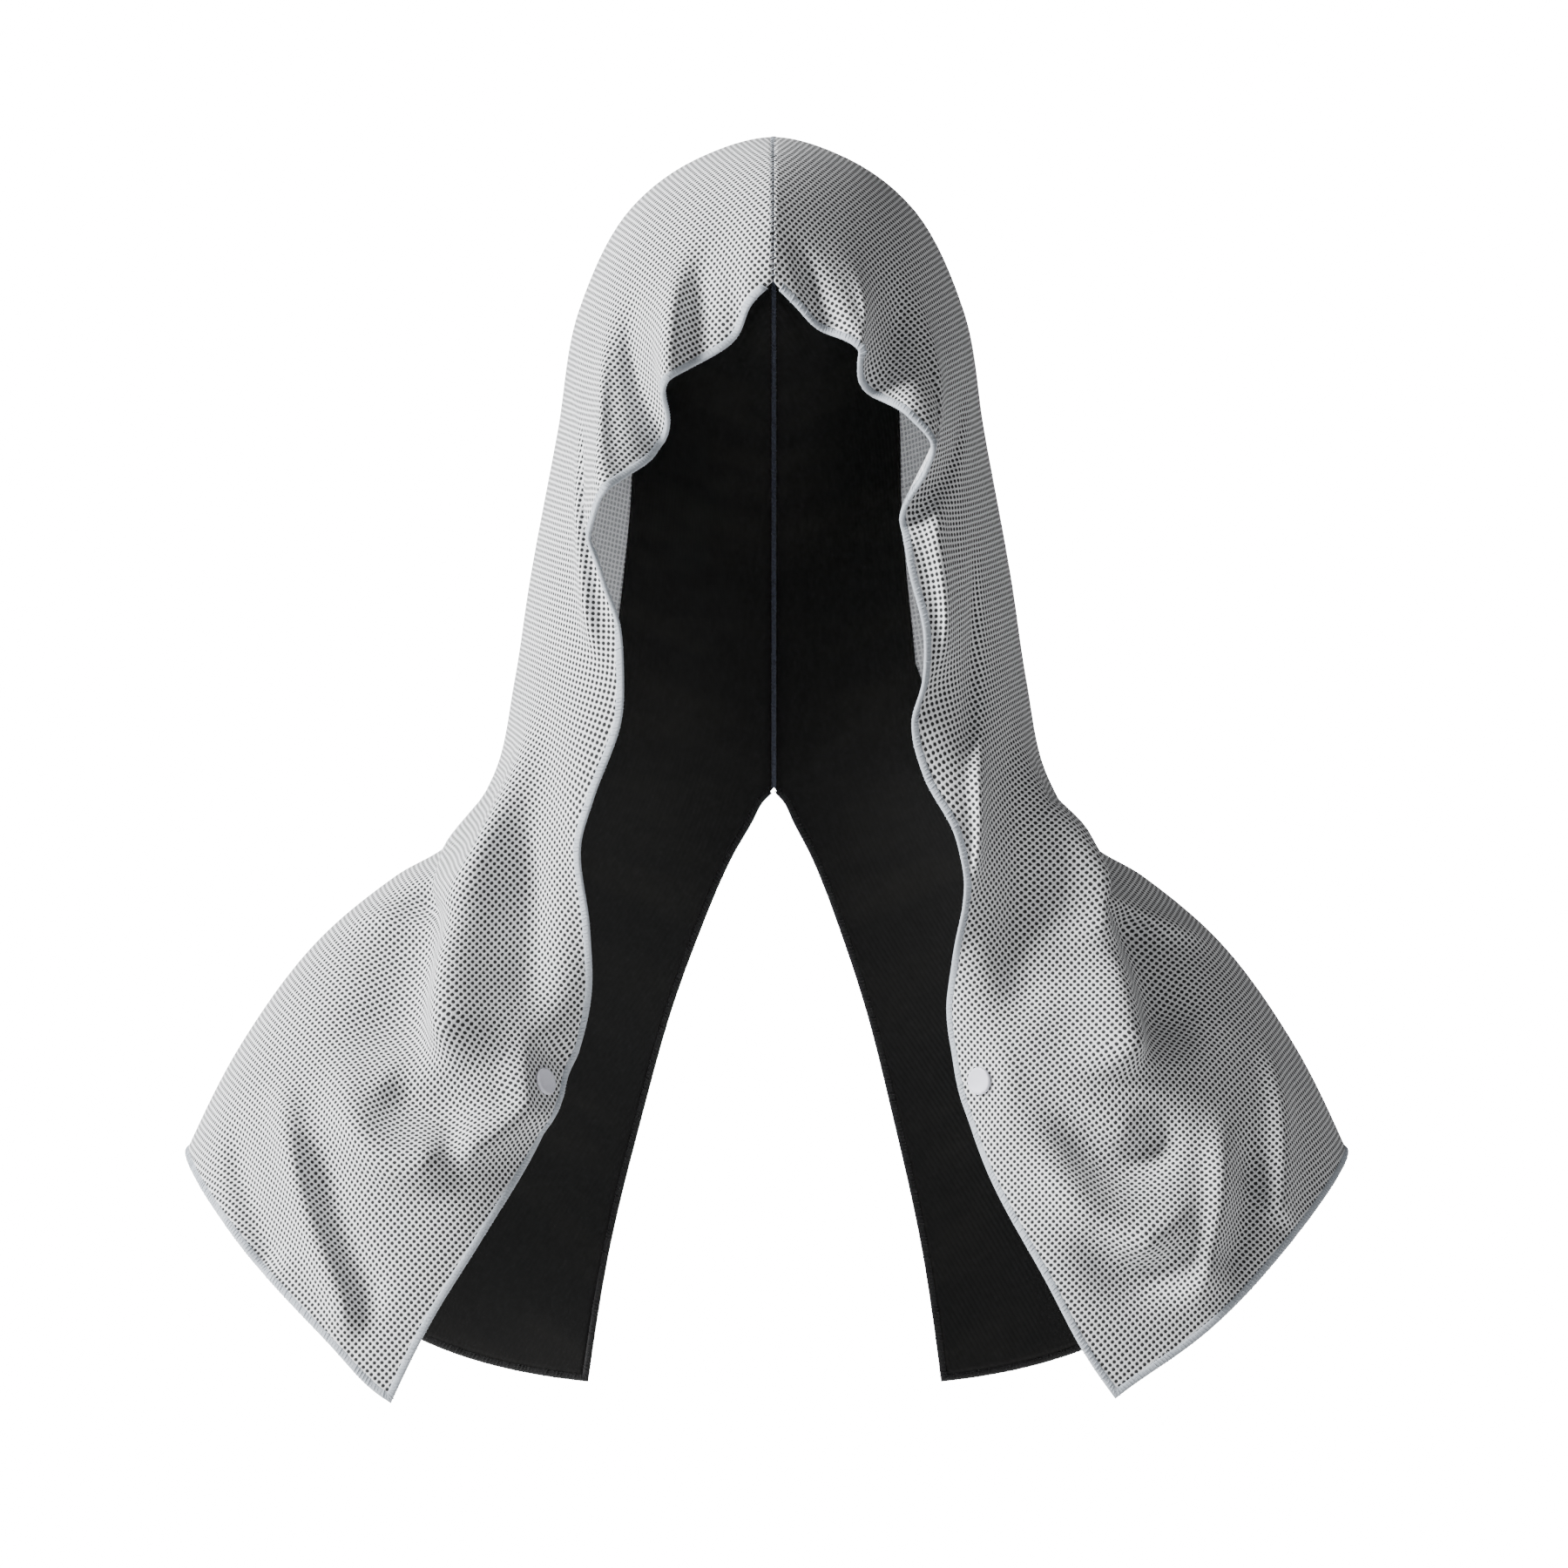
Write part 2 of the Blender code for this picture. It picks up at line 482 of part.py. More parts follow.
def wrapped_edge(name, side, turned, stations, down, surface, collection):
    """An edge wrapped over cloth: each station is a point on the wrap's lip, one on the edge, and their normals.
    The first `down` of them run down the towel, the rest along its bottom. `turned` is the side that the
    outer face is on, seen along the stations, and its cells are cut the way that the cloth's are."""
    lip, edge, lip_out, edge_out = (np.array(part) for part in zip(*stations))
    for part in (lip, edge, lip_out, edge_out):
        part[0] += (part[1] - part[0]) * HEM_HEAD
    beyond = np.cross(np.gradient(edge, axis=0), edge_out)
    beyond *= np.sign((beyond * (edge - lip)).sum(-1))[:, None]
    beyond /= np.linalg.norm(beyond, axis=-1)[:, None]
    grid = np.stack([
        lip + lip_out * HEM_GAP,
        edge + (edge_out + beyond) * HEM_GAP,
        edge - edge_out * (SHELL_WALL + HEM_GAP) + beyond * HEM_GAP,
        lip - lip_out * (SHELL_WALL + HEM_GAP),
    ], axis=1)
    grid[..., 0] = side * np.maximum(side * grid[..., 0], GAP / 2 + HEM_WALL)
    crossed = np.zeros((len(grid) - 1, 3), bool)
    crossed[:down, 0 if turned != side else 2] = True
    crossed[down:, 2 if turned != side else 0] = True
    return sheet(name, turned, grid, HEM_WALL, surface, collection, offset=1.0, crossed=crossed)


def front_hem(side, grid, surface, collection):
    """Down the front edge and out along the bottom as far as the side."""
    out = outward(side, grid)
    down = [((j, 1), (j, 0)) for j in range(len(grid) - 2)]
    along = [((-2, i), (-1, i)) for i in range(2, 3 + ACROSS_LINES.index(HEM_SPLIT))]
    places = down + [((-2, 1), (-1, 0))] + along
    stations = [(grid[lip], grid[edge], out[lip], out[edge]) for lip, edge in places]
    name = "front_hem_left" if side < 0 else "front_hem_right"
    return wrapped_edge(name, side, -side, stations, len(down), surface, collection)


def back_hem(side, levels, grid, surface, collection):
    """Down the split and out along the bottom to meet the light edge at the side."""
    out = outward(side, grid)
    head = int(np.searchsorted(levels, SPLIT_LINES[0] - 0.001))
    down = [((j, -2), (j, -1)) for j in range(head, len(grid) - 2)]
    last = 2 + ACROSS_LINES.index(HEM_SPLIT)
    along = [((-2, i), (-1, i)) for i in range(grid.shape[1] - 3, last, -1)]
    places = down + [((-2, -2), (-1, -1))] + along
    stations = [(grid[lip], grid[edge], out[lip], out[edge]) for lip, edge in places]
    end = [
        toward(grid[j, last], grid[j, last + 1], 2 * GAP) for j in (-2, -1)
    ]
    stations.append((end[0], end[1], out[-2, last], out[-1, last]))
    name = "back_hem_left" if side < 0 else "back_hem_right"
    return wrapped_edge(name, side, side, stations, len(down), surface, collection)


def centre_seam(levels, surface, collection):
    """A ridge down the inside of the back, from the crown to the head of the split."""
    inward = SHELL_WALL + GAP + LINING_WALL + SEAM_SINK
    down = levels[(levels > 0.0) & (levels < SPLIT_LEVEL + 0.001)]
    line = cloth(-1, down, [1.0])[:, 0]
    slope = np.gradient(line, axis=0)
    inside = np.stack([np.zeros(len(line)), slope[:, 2], -slope[:, 1]], -1)
    inside /= np.linalg.norm(inside, axis=-1)[:, None]
    inside *= -np.sign(inside[:, 1:2])
    curve = bpy.data.curves.new("centre_seam", "CURVE")
    curve.dimensions = "3D"
    curve.bevel_depth = SEAM_RADIUS
    curve.bevel_resolution = 2
    curve.use_fill_caps = True
    spline = curve.splines.new("POLY")
    spline.points.add(len(line) - 1)
    for point, place in zip(spline.points, line + inside * inward):
        point.co = (0, place[1], place[2], 1)
    return node("centre_seam", curve, surface, collection)


def snap_place(side):
    """Middle of the cap's seat and the direction out of the cloth there."""
    level = SNAP_LEVEL[side]
    levels = np.array([level - 0.006, level, level + 0.006])
    share = SNAP_INSET / row_length(side, levels)[1]
    grid = cloth(side, levels, [share * 0.5, share, share * 1.5])
    return Vector(grid[1, 1]), Vector(outward(side, grid)[1, 1])


def snap(side, surface, collection):
    """Turned about the post: cap outside the cloth, post through it, socket inside."""
    place, out = snap_place(side)
    seat = SNAP_STAND
    under = SHELL_WALL + SNAP_STAND
    profile = (
        (0, seat + SNAP_CAP_THICKNESS),
        (SNAP_CAP * 0.80, seat + SNAP_CAP_THICKNESS),
        (SNAP_CAP, seat + SNAP_CAP_THICKNESS * 0.45),
        (SNAP_CAP, seat),
        (SNAP_POST, seat),
        (SNAP_POST, -under),
        (SNAP_SOCKET, -under),
        (SNAP_SOCKET, -under - SNAP_SOCKET_THICKNESS * 0.5),
        (SNAP_SOCKET * 0.65, -under - SNAP_SOCKET_THICKNESS),
        (0, -under - SNAP_SOCKET_THICKNESS),
    )
    name = "snap_left" if side < 0 else "snap_right"
    bm = bmesh.new()
    verts = [bm.verts.new((r, 0, z)) for r, z in profile]
    edges = [bm.edges.new(pair) for pair in zip(verts, verts[1:])]
    mesh = bpy.data.meshes.new(name)
    bm.to_mesh(mesh)
    bm.free()
    made = node(name, mesh, surface, collection)
    made.location = place
    made.rotation_euler = out.to_track_quat("Z", "Y").to_euler()
    turned = made.modifiers.new("turned", "SCREW")
    turned.angle = 2 * math.pi
    turned.screw_offset = 0
    turned.axis = "Z"
    turned.steps = 20
    turned.render_steps = 20
    turned.use_merge_vertices = True
    turned.merge_threshold = 0.00001
    turned.use_smooth_shade = False
    return made


def hole_cutter(side, collection):
    """Bores the cloth for the snap's post."""
    place, out = snap_place(side)
    bm = bmesh.new()
    bmesh.ops.create_cone(
        bm, cap_ends=True, segments=12, radius1=SNAP_HOLE, radius2=SNAP_HOLE, depth=0.012
    )
    name = "snap_hole_left" if side < 0 else "snap_hole_right"
    mesh = bpy.data.meshes.new(name)
    bm.to_mesh(mesh)
    bm.free()
    made = bpy.data.objects.new(name, mesh)
    made.location = place
    made.rotation_euler = out.to_track_quat("Z", "Y").to_euler()
    made.display_type = "WIRE"
    made.hide_render = True
    collection.objects.link(made)
    return made


def main():
    for old in list(bpy.data.objects):
        bpy.data.objects.remove(old)
    towel = bpy.data.collections.new("cooling_hooded_towel")
    cutters = bpy.data.collections.new("cutters")
    cutters.hide_render = True
    for collection in (towel, cutters):
        bpy.context.scene.collection.children.link(collection)

    mesh_cloth = material("mesh_cloth", (0.62, 0.63, 0.64), 0.85)
    black_lining = material("black_lining", (0.012, 0.012, 0.012), 0.7)
    light_thread = material("light_thread", (0.55, 0.58, 0.61), 0.8)
    black_thread = material("black_thread", (0.015, 0.015, 0.015), 0.8)
    seam_thread = material("seam_thread", (0.035, 0.045, 0.07), 0.8)
    snap_plastic = material("snap_plastic", (0.60, 0.60, 0.66), 0.35)

    for side in (-1, 1):
        levels, grid = shell_grid(side)
        name = "shell_left" if side < 0 else "shell_right"
        shell = sheet(name, side, grid, SHELL_WALL, mesh_cloth, towel)
        hole = shell.modifiers.new("snap hole", "BOOLEAN")
        hole.operation = "DIFFERENCE"
        hole.solver = "EXACT"
        hole.object = hole_cutter(side, cutters)
        lining(side, levels, grid, black_lining, towel)
        front_hem(side, grid, light_thread, towel)
        back_hem(side, levels, grid, black_thread, towel)
        snap(side, snap_plastic, towel)
    centre_seam(levels, seam_thread, towel)


main()
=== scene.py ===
import math
from collections import namedtuple

import bmesh
import bpy
import numpy as np
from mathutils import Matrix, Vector


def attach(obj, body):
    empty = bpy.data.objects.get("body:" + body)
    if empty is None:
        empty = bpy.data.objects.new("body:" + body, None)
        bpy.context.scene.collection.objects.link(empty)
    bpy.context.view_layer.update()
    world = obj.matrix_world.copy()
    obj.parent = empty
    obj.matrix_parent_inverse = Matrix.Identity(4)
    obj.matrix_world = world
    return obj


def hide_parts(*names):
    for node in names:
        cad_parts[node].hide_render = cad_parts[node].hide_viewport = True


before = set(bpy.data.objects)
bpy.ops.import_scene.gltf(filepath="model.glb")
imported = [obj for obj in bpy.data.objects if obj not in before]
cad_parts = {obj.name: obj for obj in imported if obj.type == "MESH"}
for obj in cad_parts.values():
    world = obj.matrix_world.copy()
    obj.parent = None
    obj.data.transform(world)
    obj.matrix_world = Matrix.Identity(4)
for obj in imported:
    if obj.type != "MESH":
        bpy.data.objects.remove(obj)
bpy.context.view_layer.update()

# Each half of the towel is one panel of cloth. A place on it is two shares: across, from the front edge (0)
# round the side to the middle of the back (1), and level, from the crown seam (0) down to the hem (1).

Section = namedtuple(
    "Section", "level edgeOut edgeFore edgeDrop slant sideOut sideFore sideDrop backAft backDrop full bulge"
)
Spread = namedtuple("Spread", "level out")
Turn = namedtuple("Turn", "level out back drop")
Fold = namedtuple("Fold", "start through end reach out back drop fadeIn fadeOut")

towel = {
    "height": 0.580,
    "halfWidth": 0.270,
    "halfDepth": 0.115,
    "panelLength": 0.573,
    "splitLevel": 0.44,
    "frontBulge": {-1: 0.38, 1: 0.18},
    "sideSpread": {-1: 1.0, 1: 0.977},
    "backSpread": {-1: 1.0, 1: 0.9},
    "foldReach": 0.015,
    "foldDepth": 0.023,
    "edgeReach": 0.034,  # how far the turns of the front edge carry into the cloth
    "tuckReach": 0.030,
    # rows of the panel: out as a share of half the width, fore and aft of half the depth, drop of the height
    "sections": (
        Section(0.00, 0.000, 1.000, 0.128, 0.00, 0.000, 0.043, -0.002, 0.835, 0.107, 0.15, 0.00),
        Section(0.06, 0.070, 0.983, 0.167, 0.10, 0.126, 0.043, 0.014, 0.922, 0.164, 0.30, 0.00),
        Section(0.13, 0.163, 0.948, 0.216, 0.20, 0.241, 0.035, 0.053, 0.974, 0.229, 0.62, 0.00),
        Section(0.22, 0.244, 0.913, 0.281, 0.30, 0.330, 0.017, 0.133, 0.974, 0.312, 0.85, 0.00),
        Section(0.32, 0.267, 0.870, 0.371, 0.35, 0.367, 0.000, 0.229, 0.922, 0.402, 1.00, 0.00),
        Section(0.44, 0.267, 0.826, 0.490, 0.35, 0.415, -0.017, 0.348, 0.861, 0.512, 1.00, 0.00),
        Section(0.52, 0.296, 0.809, 0.560, 0.35, 0.441, -0.035, 0.426, 0.861, 0.574, 1.00, 0.00),
        Section(0.60, 0.311, 0.826, 0.634, 0.30, 0.478, -0.052, 0.502, 0.896, 0.643, 1.00, 0.10),
        Section(0.66, 0.311, 0.861, 0.693, 0.30, 0.548, -0.070, 0.553, 0.922, 0.695, 1.00, 0.20),
        Section(0.72, 0.333, 0.896, 0.748, 0.25, 0.644, -0.070, 0.581, 0.948, 0.748, 1.00, 0.35),
        Section(0.80, 0.400, 0.930, 0.817, 0.15, 0.774, -0.070, 0.631, 0.957, 0.819, 1.00, 0.50),
        Section(0.90, 0.496, 0.957, 0.900, 0.05, 0.904, -0.052, 0.712, 0.939, 0.909, 1.00, 0.65),
        Section(1.00, 0.593, 0.957, 0.979, 0.00, 1.000, -0.035, 0.800, 0.904, 0.998, 1.00, 0.77),
    ),
    "split": (
        Spread(0.44, 0.000),
        Spread(0.455, 0.020),
        Spread(0.475, 0.037),
        Spread(0.510, 0.070),
        Spread(0.580, 0.126),
        Spread(0.650, 0.174),
        Spread(0.760, 0.233),
        Spread(0.880, 0.289),
        Spread(1.000, 0.326),
    ),
    "turns": {
        -1: (
            Turn(0.000, 0.000, 0.00, 0.128),
            Turn(0.030, 0.041, 0.00, 0.147),
            Turn(0.055, 0.061, 0.04, 0.169),
            Turn(0.095, 0.130, -0.05, 0.190),
            Turn(0.130, 0.180, -0.03, 0.210),
            Turn(0.155, 0.174, 0.05, 0.234),
            Turn(0.180, 0.193, 0.03, 0.257),
            Turn(0.210, 0.244, -0.05, 0.276),
            Turn(0.240, 0.285, -0.05, 0.293),
            Turn(0.265, 0.296, 0.00, 0.317),
            Turn(0.310, 0.278, 0.06, 0.360),
            Turn(0.340, 0.256, 0.08, 0.388),
            Turn(0.380, 0.248, 0.07, 0.428),
            Turn(0.420, 0.252, 0.06, 0.462),
            Turn(0.480, 0.298, 0.03, 0.521),
            Turn(0.520, 0.319, 0.05, 0.555),
            Turn(0.590, 0.304, 0.14, 0.624),
            Turn(0.635, 0.300, 0.24, 0.666),
            Turn(0.690, 0.322, 0.34, 0.716),
            Turn(0.760, 0.381, 0.27, 0.781),
            Turn(0.860, 0.483, 0.06, 0.861),
            Turn(0.920, 0.554, 0.00, 0.914),
            Turn(1.000, 0.626, 0.00, 0.981),
        ),
        1: (
            Turn(0.000, 0.000, 0.00, 0.128),
            Turn(0.030, 0.041, 0.00, 0.147),
            Turn(0.050, 0.070, -0.02, 0.160),
            Turn(0.085, 0.137, -0.05, 0.178),
            Turn(0.115, 0.146, 0.05, 0.203),
            Turn(0.160, 0.222, -0.04, 0.229),
            Turn(0.190, 0.263, -0.05, 0.252),
            Turn(0.215, 0.252, 0.00, 0.272),
            Turn(0.250, 0.215, 0.08, 0.302),
            Turn(0.290, 0.222, 0.09, 0.340),
            Turn(0.350, 0.250, 0.06, 0.397),
            Turn(0.390, 0.248, 0.06, 0.434),
            Turn(0.430, 0.230, 0.10, 0.469),
            Turn(0.465, 0.248, 0.09, 0.502),
            Turn(0.520, 0.302, 0.03, 0.550),
            Turn(0.570, 0.317, 0.08, 0.595),
            Turn(0.625, 0.296, 0.22, 0.648),
            Turn(0.660, 0.287, 0.30, 0.679),
            Turn(0.730, 0.311, 0.34, 0.748),
            Turn(0.790, 0.348, 0.25, 0.802),
            Turn(0.890, 0.446, 0.06, 0.888),
            Turn(0.980, 0.533, 0.00, 0.960),
            Turn(1.000, 0.561, 0.00, 0.978),
        ),
    },
    # folds: places as (across, level) at the start, half way and at the end; reach as a share of foldReach;
    # pushes as shares of foldDepth, where back is into the towel; fades as shares of the fold's length
    "folds": {
        -1: (
            # hood front
            Fold((0.01, 0.09), (0.10, 0.08), (0.18, 0.07), 0.55, 0.00, 0.36, 0, 0.0, 0.6),
            Fold((0.02, 0.12), (0.11, 0.11), (0.19, 0.10), 0.50, 0.00, -0.30, 0, 0.0, 0.6),
            Fold((0.01, 0.17), (0.12, 0.17), (0.21, 0.14), 0.60, 0.00, 0.46, 0, 0.0, 0.6),
            Fold((0.01, 0.23), (0.14, 0.22), (0.24, 0.16), 0.60, 0.00, -0.42, 0, 0.0, 0.6),
            Fold((0.00, 0.27), (0.14, 0.26), (0.20, 0.20), 0.60, 0.10, 0.28, 0, 0.0, 0.6),
            Fold((0.09, 0.41), (0.14, 0.34), (0.24, 0.25), 0.70, 0.10, -0.30, 0, 0.3, 0.4),
            # column in front of the shoulder, with the hollow outside it
            Fold((0.19, 0.49), (0.26, 0.64), (0.12, 0.77), 1.05, 0.50, -0.90, 0, 0.5, 0.12),
            Fold((0.40, 0.60), (0.34, 0.65), (0.24, 0.69), 1.10, 0.60, -0.10, 0.2, 0.4, 0.4),
            Fold((0.23, 0.57), (0.14, 0.64), (0.10, 0.72), 1.00, 0.00, 0.35, 0, 0.4, 0.3),
            Fold((0.37, 0.68), (0.27, 0.74), (0.19, 0.82), 2.20, 0.00, 0.85, 0, 0.3, 0.25),
            Fold((0.48, 0.78), (0.33, 0.73), (0.24, 0.69), 0.60, 0.00, -0.40, 0, 0.4, 0.3),
            # swags that hang from the snap
            Fold((0.28, 0.83), (0.17, 0.86), (0.08, 0.81), 0.75, 0.00, -0.55, 0, 0.4, 0.2),
            Fold((0.10, 0.82), (0.05, 0.78), (0.02, 0.72), 0.60, 0.00, -0.46, 0, 0.3, 0.2),
            Fold((0.21, 0.82), (0.15, 0.81), (0.06, 0.77), 0.70, 0.00, 0.42, 0, 0.4, 0.4),
            # ridges down to the hem
            Fold((0.33, 0.88), (0.20, 0.93), (0.06, 0.98), 0.60, 0.00, -0.55, 0, 0.3, 0.15),
            Fold((0.24, 0.88), (0.15, 0.93), (0.05, 0.96), 0.85, 0.00, 0.32, 0, 0.3, 0.2),
            Fold((0.36, 0.94), (0.25, 0.97), (0.18, 0.99), 0.60, 0.00, 0.38, 0, 0.3, 0.2),
        ),
        1: (
            # hood front
            Fold((0.01, 0.06), (0.06, 0.04), (0.12, 0.03), 0.50, 0.00, 0.30, 0, 0.0, 0.6),
            Fold((0.02, 0.10), (0.09, 0.10), (0.15, 0.08), 0.50, 0.00, -0.35, 0, 0.0, 0.6),
            Fold((0.01, 0.13), (0.11, 0.14), (0.21, 0.12), 0.60, 0.00, 0.48, 0, 0.0, 0.6),
            Fold((0.06, 0.22), (0.14, 0.20), (0.23, 0.13), 0.60, 0.06, -0.40, 0, 0.0, 0.6),
            Fold((0.01, 0.26), (0.16, 0.27), (0.30, 0.22), 0.65, 0.00, 0.35, 0, 0.0, 0.6),
            Fold((0.09, 0.43), (0.08, 0.33), (0.10, 0.26), 0.60, 0.00, -0.35, 0, 0.3, 0.4),
            Fold((0.09, 0.52), (0.15, 0.44), (0.20, 0.33), 0.60, 0.00, 0.30, 0, 0.3, 0.4),
            Fold((0.02, 0.58), (0.09, 0.53), (0.17, 0.45), 0.60, 0.00, -0.35, 0, 0.3, 0.4),
            # column in front of the shoulder, with the hollow outside it
            Fold((0.25, 0.52), (0.27, 0.66), (0.15, 0.80), 1.05, 0.55, -0.95, 0, 0.45, 0.10),
            Fold((0.33, 0.59), (0.31, 0.63), (0.22, 0.69), 1.00, 0.55, -0.10, 0.2, 0.4, 0.4),
            Fold((0.20, 0.59), (0.14, 0.66), (0.11, 0.73), 1.05, 0.00, 0.33, 0, 0.4, 0.3),
            Fold((0.30, 0.69), (0.26, 0.76), (0.21, 0.82), 2.10, 0.00, 0.80, 0, 0.3, 0.3),
            Fold((0.33, 0.64), (0.35, 0.73), (0.46, 0.81), 0.60, 0.00, -0.42, 0, 0.3, 0.4),
            # swags across the panel
            Fold((0.08, 0.74), (0.11, 0.85), (0.20, 0.84), 0.70, 0.00, 0.60, 0, 0.35, 0.25),
            Fold((0.07, 0.77), (0.08, 0.90), (0.20, 0.89), 0.65, 0.00, -0.48, 0, 0.3, 0.4),
            Fold((0.06, 0.82), (0.07, 0.93), (0.13, 0.91), 0.70, 0.00, 0.48, 0, 0.3, 0.35),
            # pleats down to the hem
            Fold((0.24, 0.87), (0.18, 0.93), (0.09, 0.98), 0.60, 0.00, -0.44, 0, 0.4, 0.2),
            Fold((0.26, 0.90), (0.20, 0.95), (0.13, 0.97), 0.60, 0.00, 0.35, 0, 0.3, 0.2),
            Fold((0.38, 0.86), (0.30, 0.93), (0.22, 0.98), 0.60, 0.00, -0.42, 0, 0.4, 0.1),
        ),
    },
}


def smoothCurve(knots, values, at):
    # values on a curve through the knots, each slope taken from its neighbours
    knots = np.asarray(knots, float)
    values = np.asarray(values, float)
    flat = values.reshape(len(knots), -1)
    step = np.diff(knots)[:, None]
    rise = np.diff(flat, axis=0) / step
    slope = np.empty_like(flat)
    slope[1:-1] = (rise[:-1] * step[1:] + rise[1:] * step[:-1]) / (step[:-1] + step[1:])
    slope[0] = 1.5 * rise[0] - 0.5 * slope[1]
    slope[-1] = 1.5 * rise[-1] - 0.5 * slope[-2]
    at = np.asarray(at, float)
    i = np.clip(np.searchsorted(knots, at, side="right") - 1, 0, len(knots) - 2)
    h = step[i, 0][:, None]
    t = (at - knots[i])[:, None] / h
    out = (2 * t**3 - 3 * t**2 + 1) * flat[i] + (t**3 - 2 * t**2 + t) * h * slope[i]
    out += (3 * t**2 - 2 * t**3) * flat[i + 1] + (t**3 - t**2) * h * slope[i + 1]
    return out.reshape(at.shape + values.shape[1:])


def ease(t):
    t = np.clip(t, 0, 1)
    return t * t * (3 - 2 * t)


def plainRows(side, levels, count=241):
    # each row before its folds: one quarter round from edge to side, one from side to back
    sections = towel["sections"]
    at = [s.level for s in sections]
    edge = smoothCurve(at, [(s.edgeOut, -s.edgeFore, s.edgeDrop) for s in sections], levels)
    flank = [(s.sideOut, -s.sideFore, s.sideDrop) for s in sections]
    overCrown = (-flank[1][0],) + flank[1][1:]
    flank = smoothCurve([-at[1]] + at, [overCrown] + flank, levels)
    back = smoothCurve(at, [(0, s.backAft, s.backDrop) for s in sections], levels)
    split = towel["split"]
    apart = smoothCurve([s.level for s in split], [s.out for s in split], np.maximum(levels, towel["splitLevel"]))
    back[:, 0] = np.maximum(apart, 0) * towel["backSpread"][side]
    flank[:, 0] *= towel["sideSpread"][side]
    slant, full, bulge = smoothCurve(at, [(s.slant, s.full, s.bulge) for s in sections], levels).T[..., None]
    frontBulge = towel["frontBulge"][side] * ease((levels - 0.55) / 0.35)[:, None]
    size = np.array([towel["halfWidth"], towel["halfDepth"], towel["height"]])
    e, f, r = ((p * size)[:, None] for p in (edge, flank, back))
    # high at the head of the split, where the panel turns to its back edge in a short curl
    splitPower = 15 - 12 * ease((levels - towel["splitLevel"]) / 0.15)[:, None]
    turn = np.linspace(0, 2, count)
    a = np.clip(turn, 0, 1) * math.pi / 2
    b = np.clip(turn - 1, 0, 1) * math.pi / 2
    front = turn <= 1
    cosB = np.clip(np.cos(b), 0, 1)
    x = np.where(
        front,
        f[..., 0] + (e[..., 0] - f[..., 0]) * (1 - np.sin(a)),
        f[..., 0] * cosB**full + r[..., 0] * np.sin(b) ** splitPower,
    )
    y = np.where(
        front,
        f[..., 1] + (e[..., 1] - f[..., 1]) * ((1 - slant) * np.cos(a) + slant * (1 - np.sin(a))),
        f[..., 1] + (r[..., 1] - f[..., 1]) * np.sin(b),
    )
    hangFront = 1 - np.sin(a)
    hangFront = hangFront + frontBulge * hangFront * (1 - hangFront)
    hangBack = 1 - cosB
    hangBack = hangBack + bulge * hangBack * (1 - hangBack)
    drop = np.where(
        front,
        f[..., 2] + (e[..., 2] - f[..., 2]) * hangFront,
        f[..., 2] + (r[..., 2] - f[..., 2]) * hangBack,
    )
    return np.stack([x, y, -drop], -1)


def lengthsAlong(rows):
    steps = np.linalg.norm(np.diff(rows, axis=1), axis=2)
    return np.concatenate([np.zeros((len(rows), 1)), np.cumsum(steps, axis=1)], axis=1)


def rowLength(side, levels):
    return lengthsAlong(plainRows(side, np.asarray(levels, float)))[:, -1]


def foldWeight(fold, arc, length, levels):
    # how strongly a fold takes hold at each place, from its distance to the fold's line
    through = 2 * np.array(fold.through) - 0.5 * (np.array(fold.start) + np.array(fold.end))
    s = np.linspace(0, 1, 13)[:, None]
    line = (1 - s) ** 2 * np.array(fold.start) + 2 * s * (1 - s) * through + s**2 * np.array(fold.end)
    drop = levels * towel["panelLength"]
    here = np.stack([arc, np.broadcast_to(drop[:, None], arc.shape)], -1)
    nearest = np.full(arc.shape, np.inf)
    along = np.zeros(arc.shape)
    for k in range(len(line) - 1):
        p, q = (
            np.stack([line[i, 0] * length, np.full(len(length), line[i, 1] * towel["panelLength"])], -1)[:, None]
            for i in (k, k + 1)
        )
        t = np.clip(((here - p) * (q - p)).sum(-1) / ((q - p) ** 2).sum(-1), 0, 1)
        distance = np.linalg.norm(here - p - t[..., None] * (q - p), axis=-1)
        closer = distance < nearest
        nearest = np.where(closer, distance, nearest)
        along = np.where(closer, (k + t) / (len(line) - 1), along)
    weight = np.exp(-((nearest / (fold.reach * towel["foldReach"])) ** 2))
    if fold.fadeIn:
        weight = weight * ease(along / fold.fadeIn)
    if fold.fadeOut:
        weight = weight * ease((1 - along) / fold.fadeOut)
    return weight


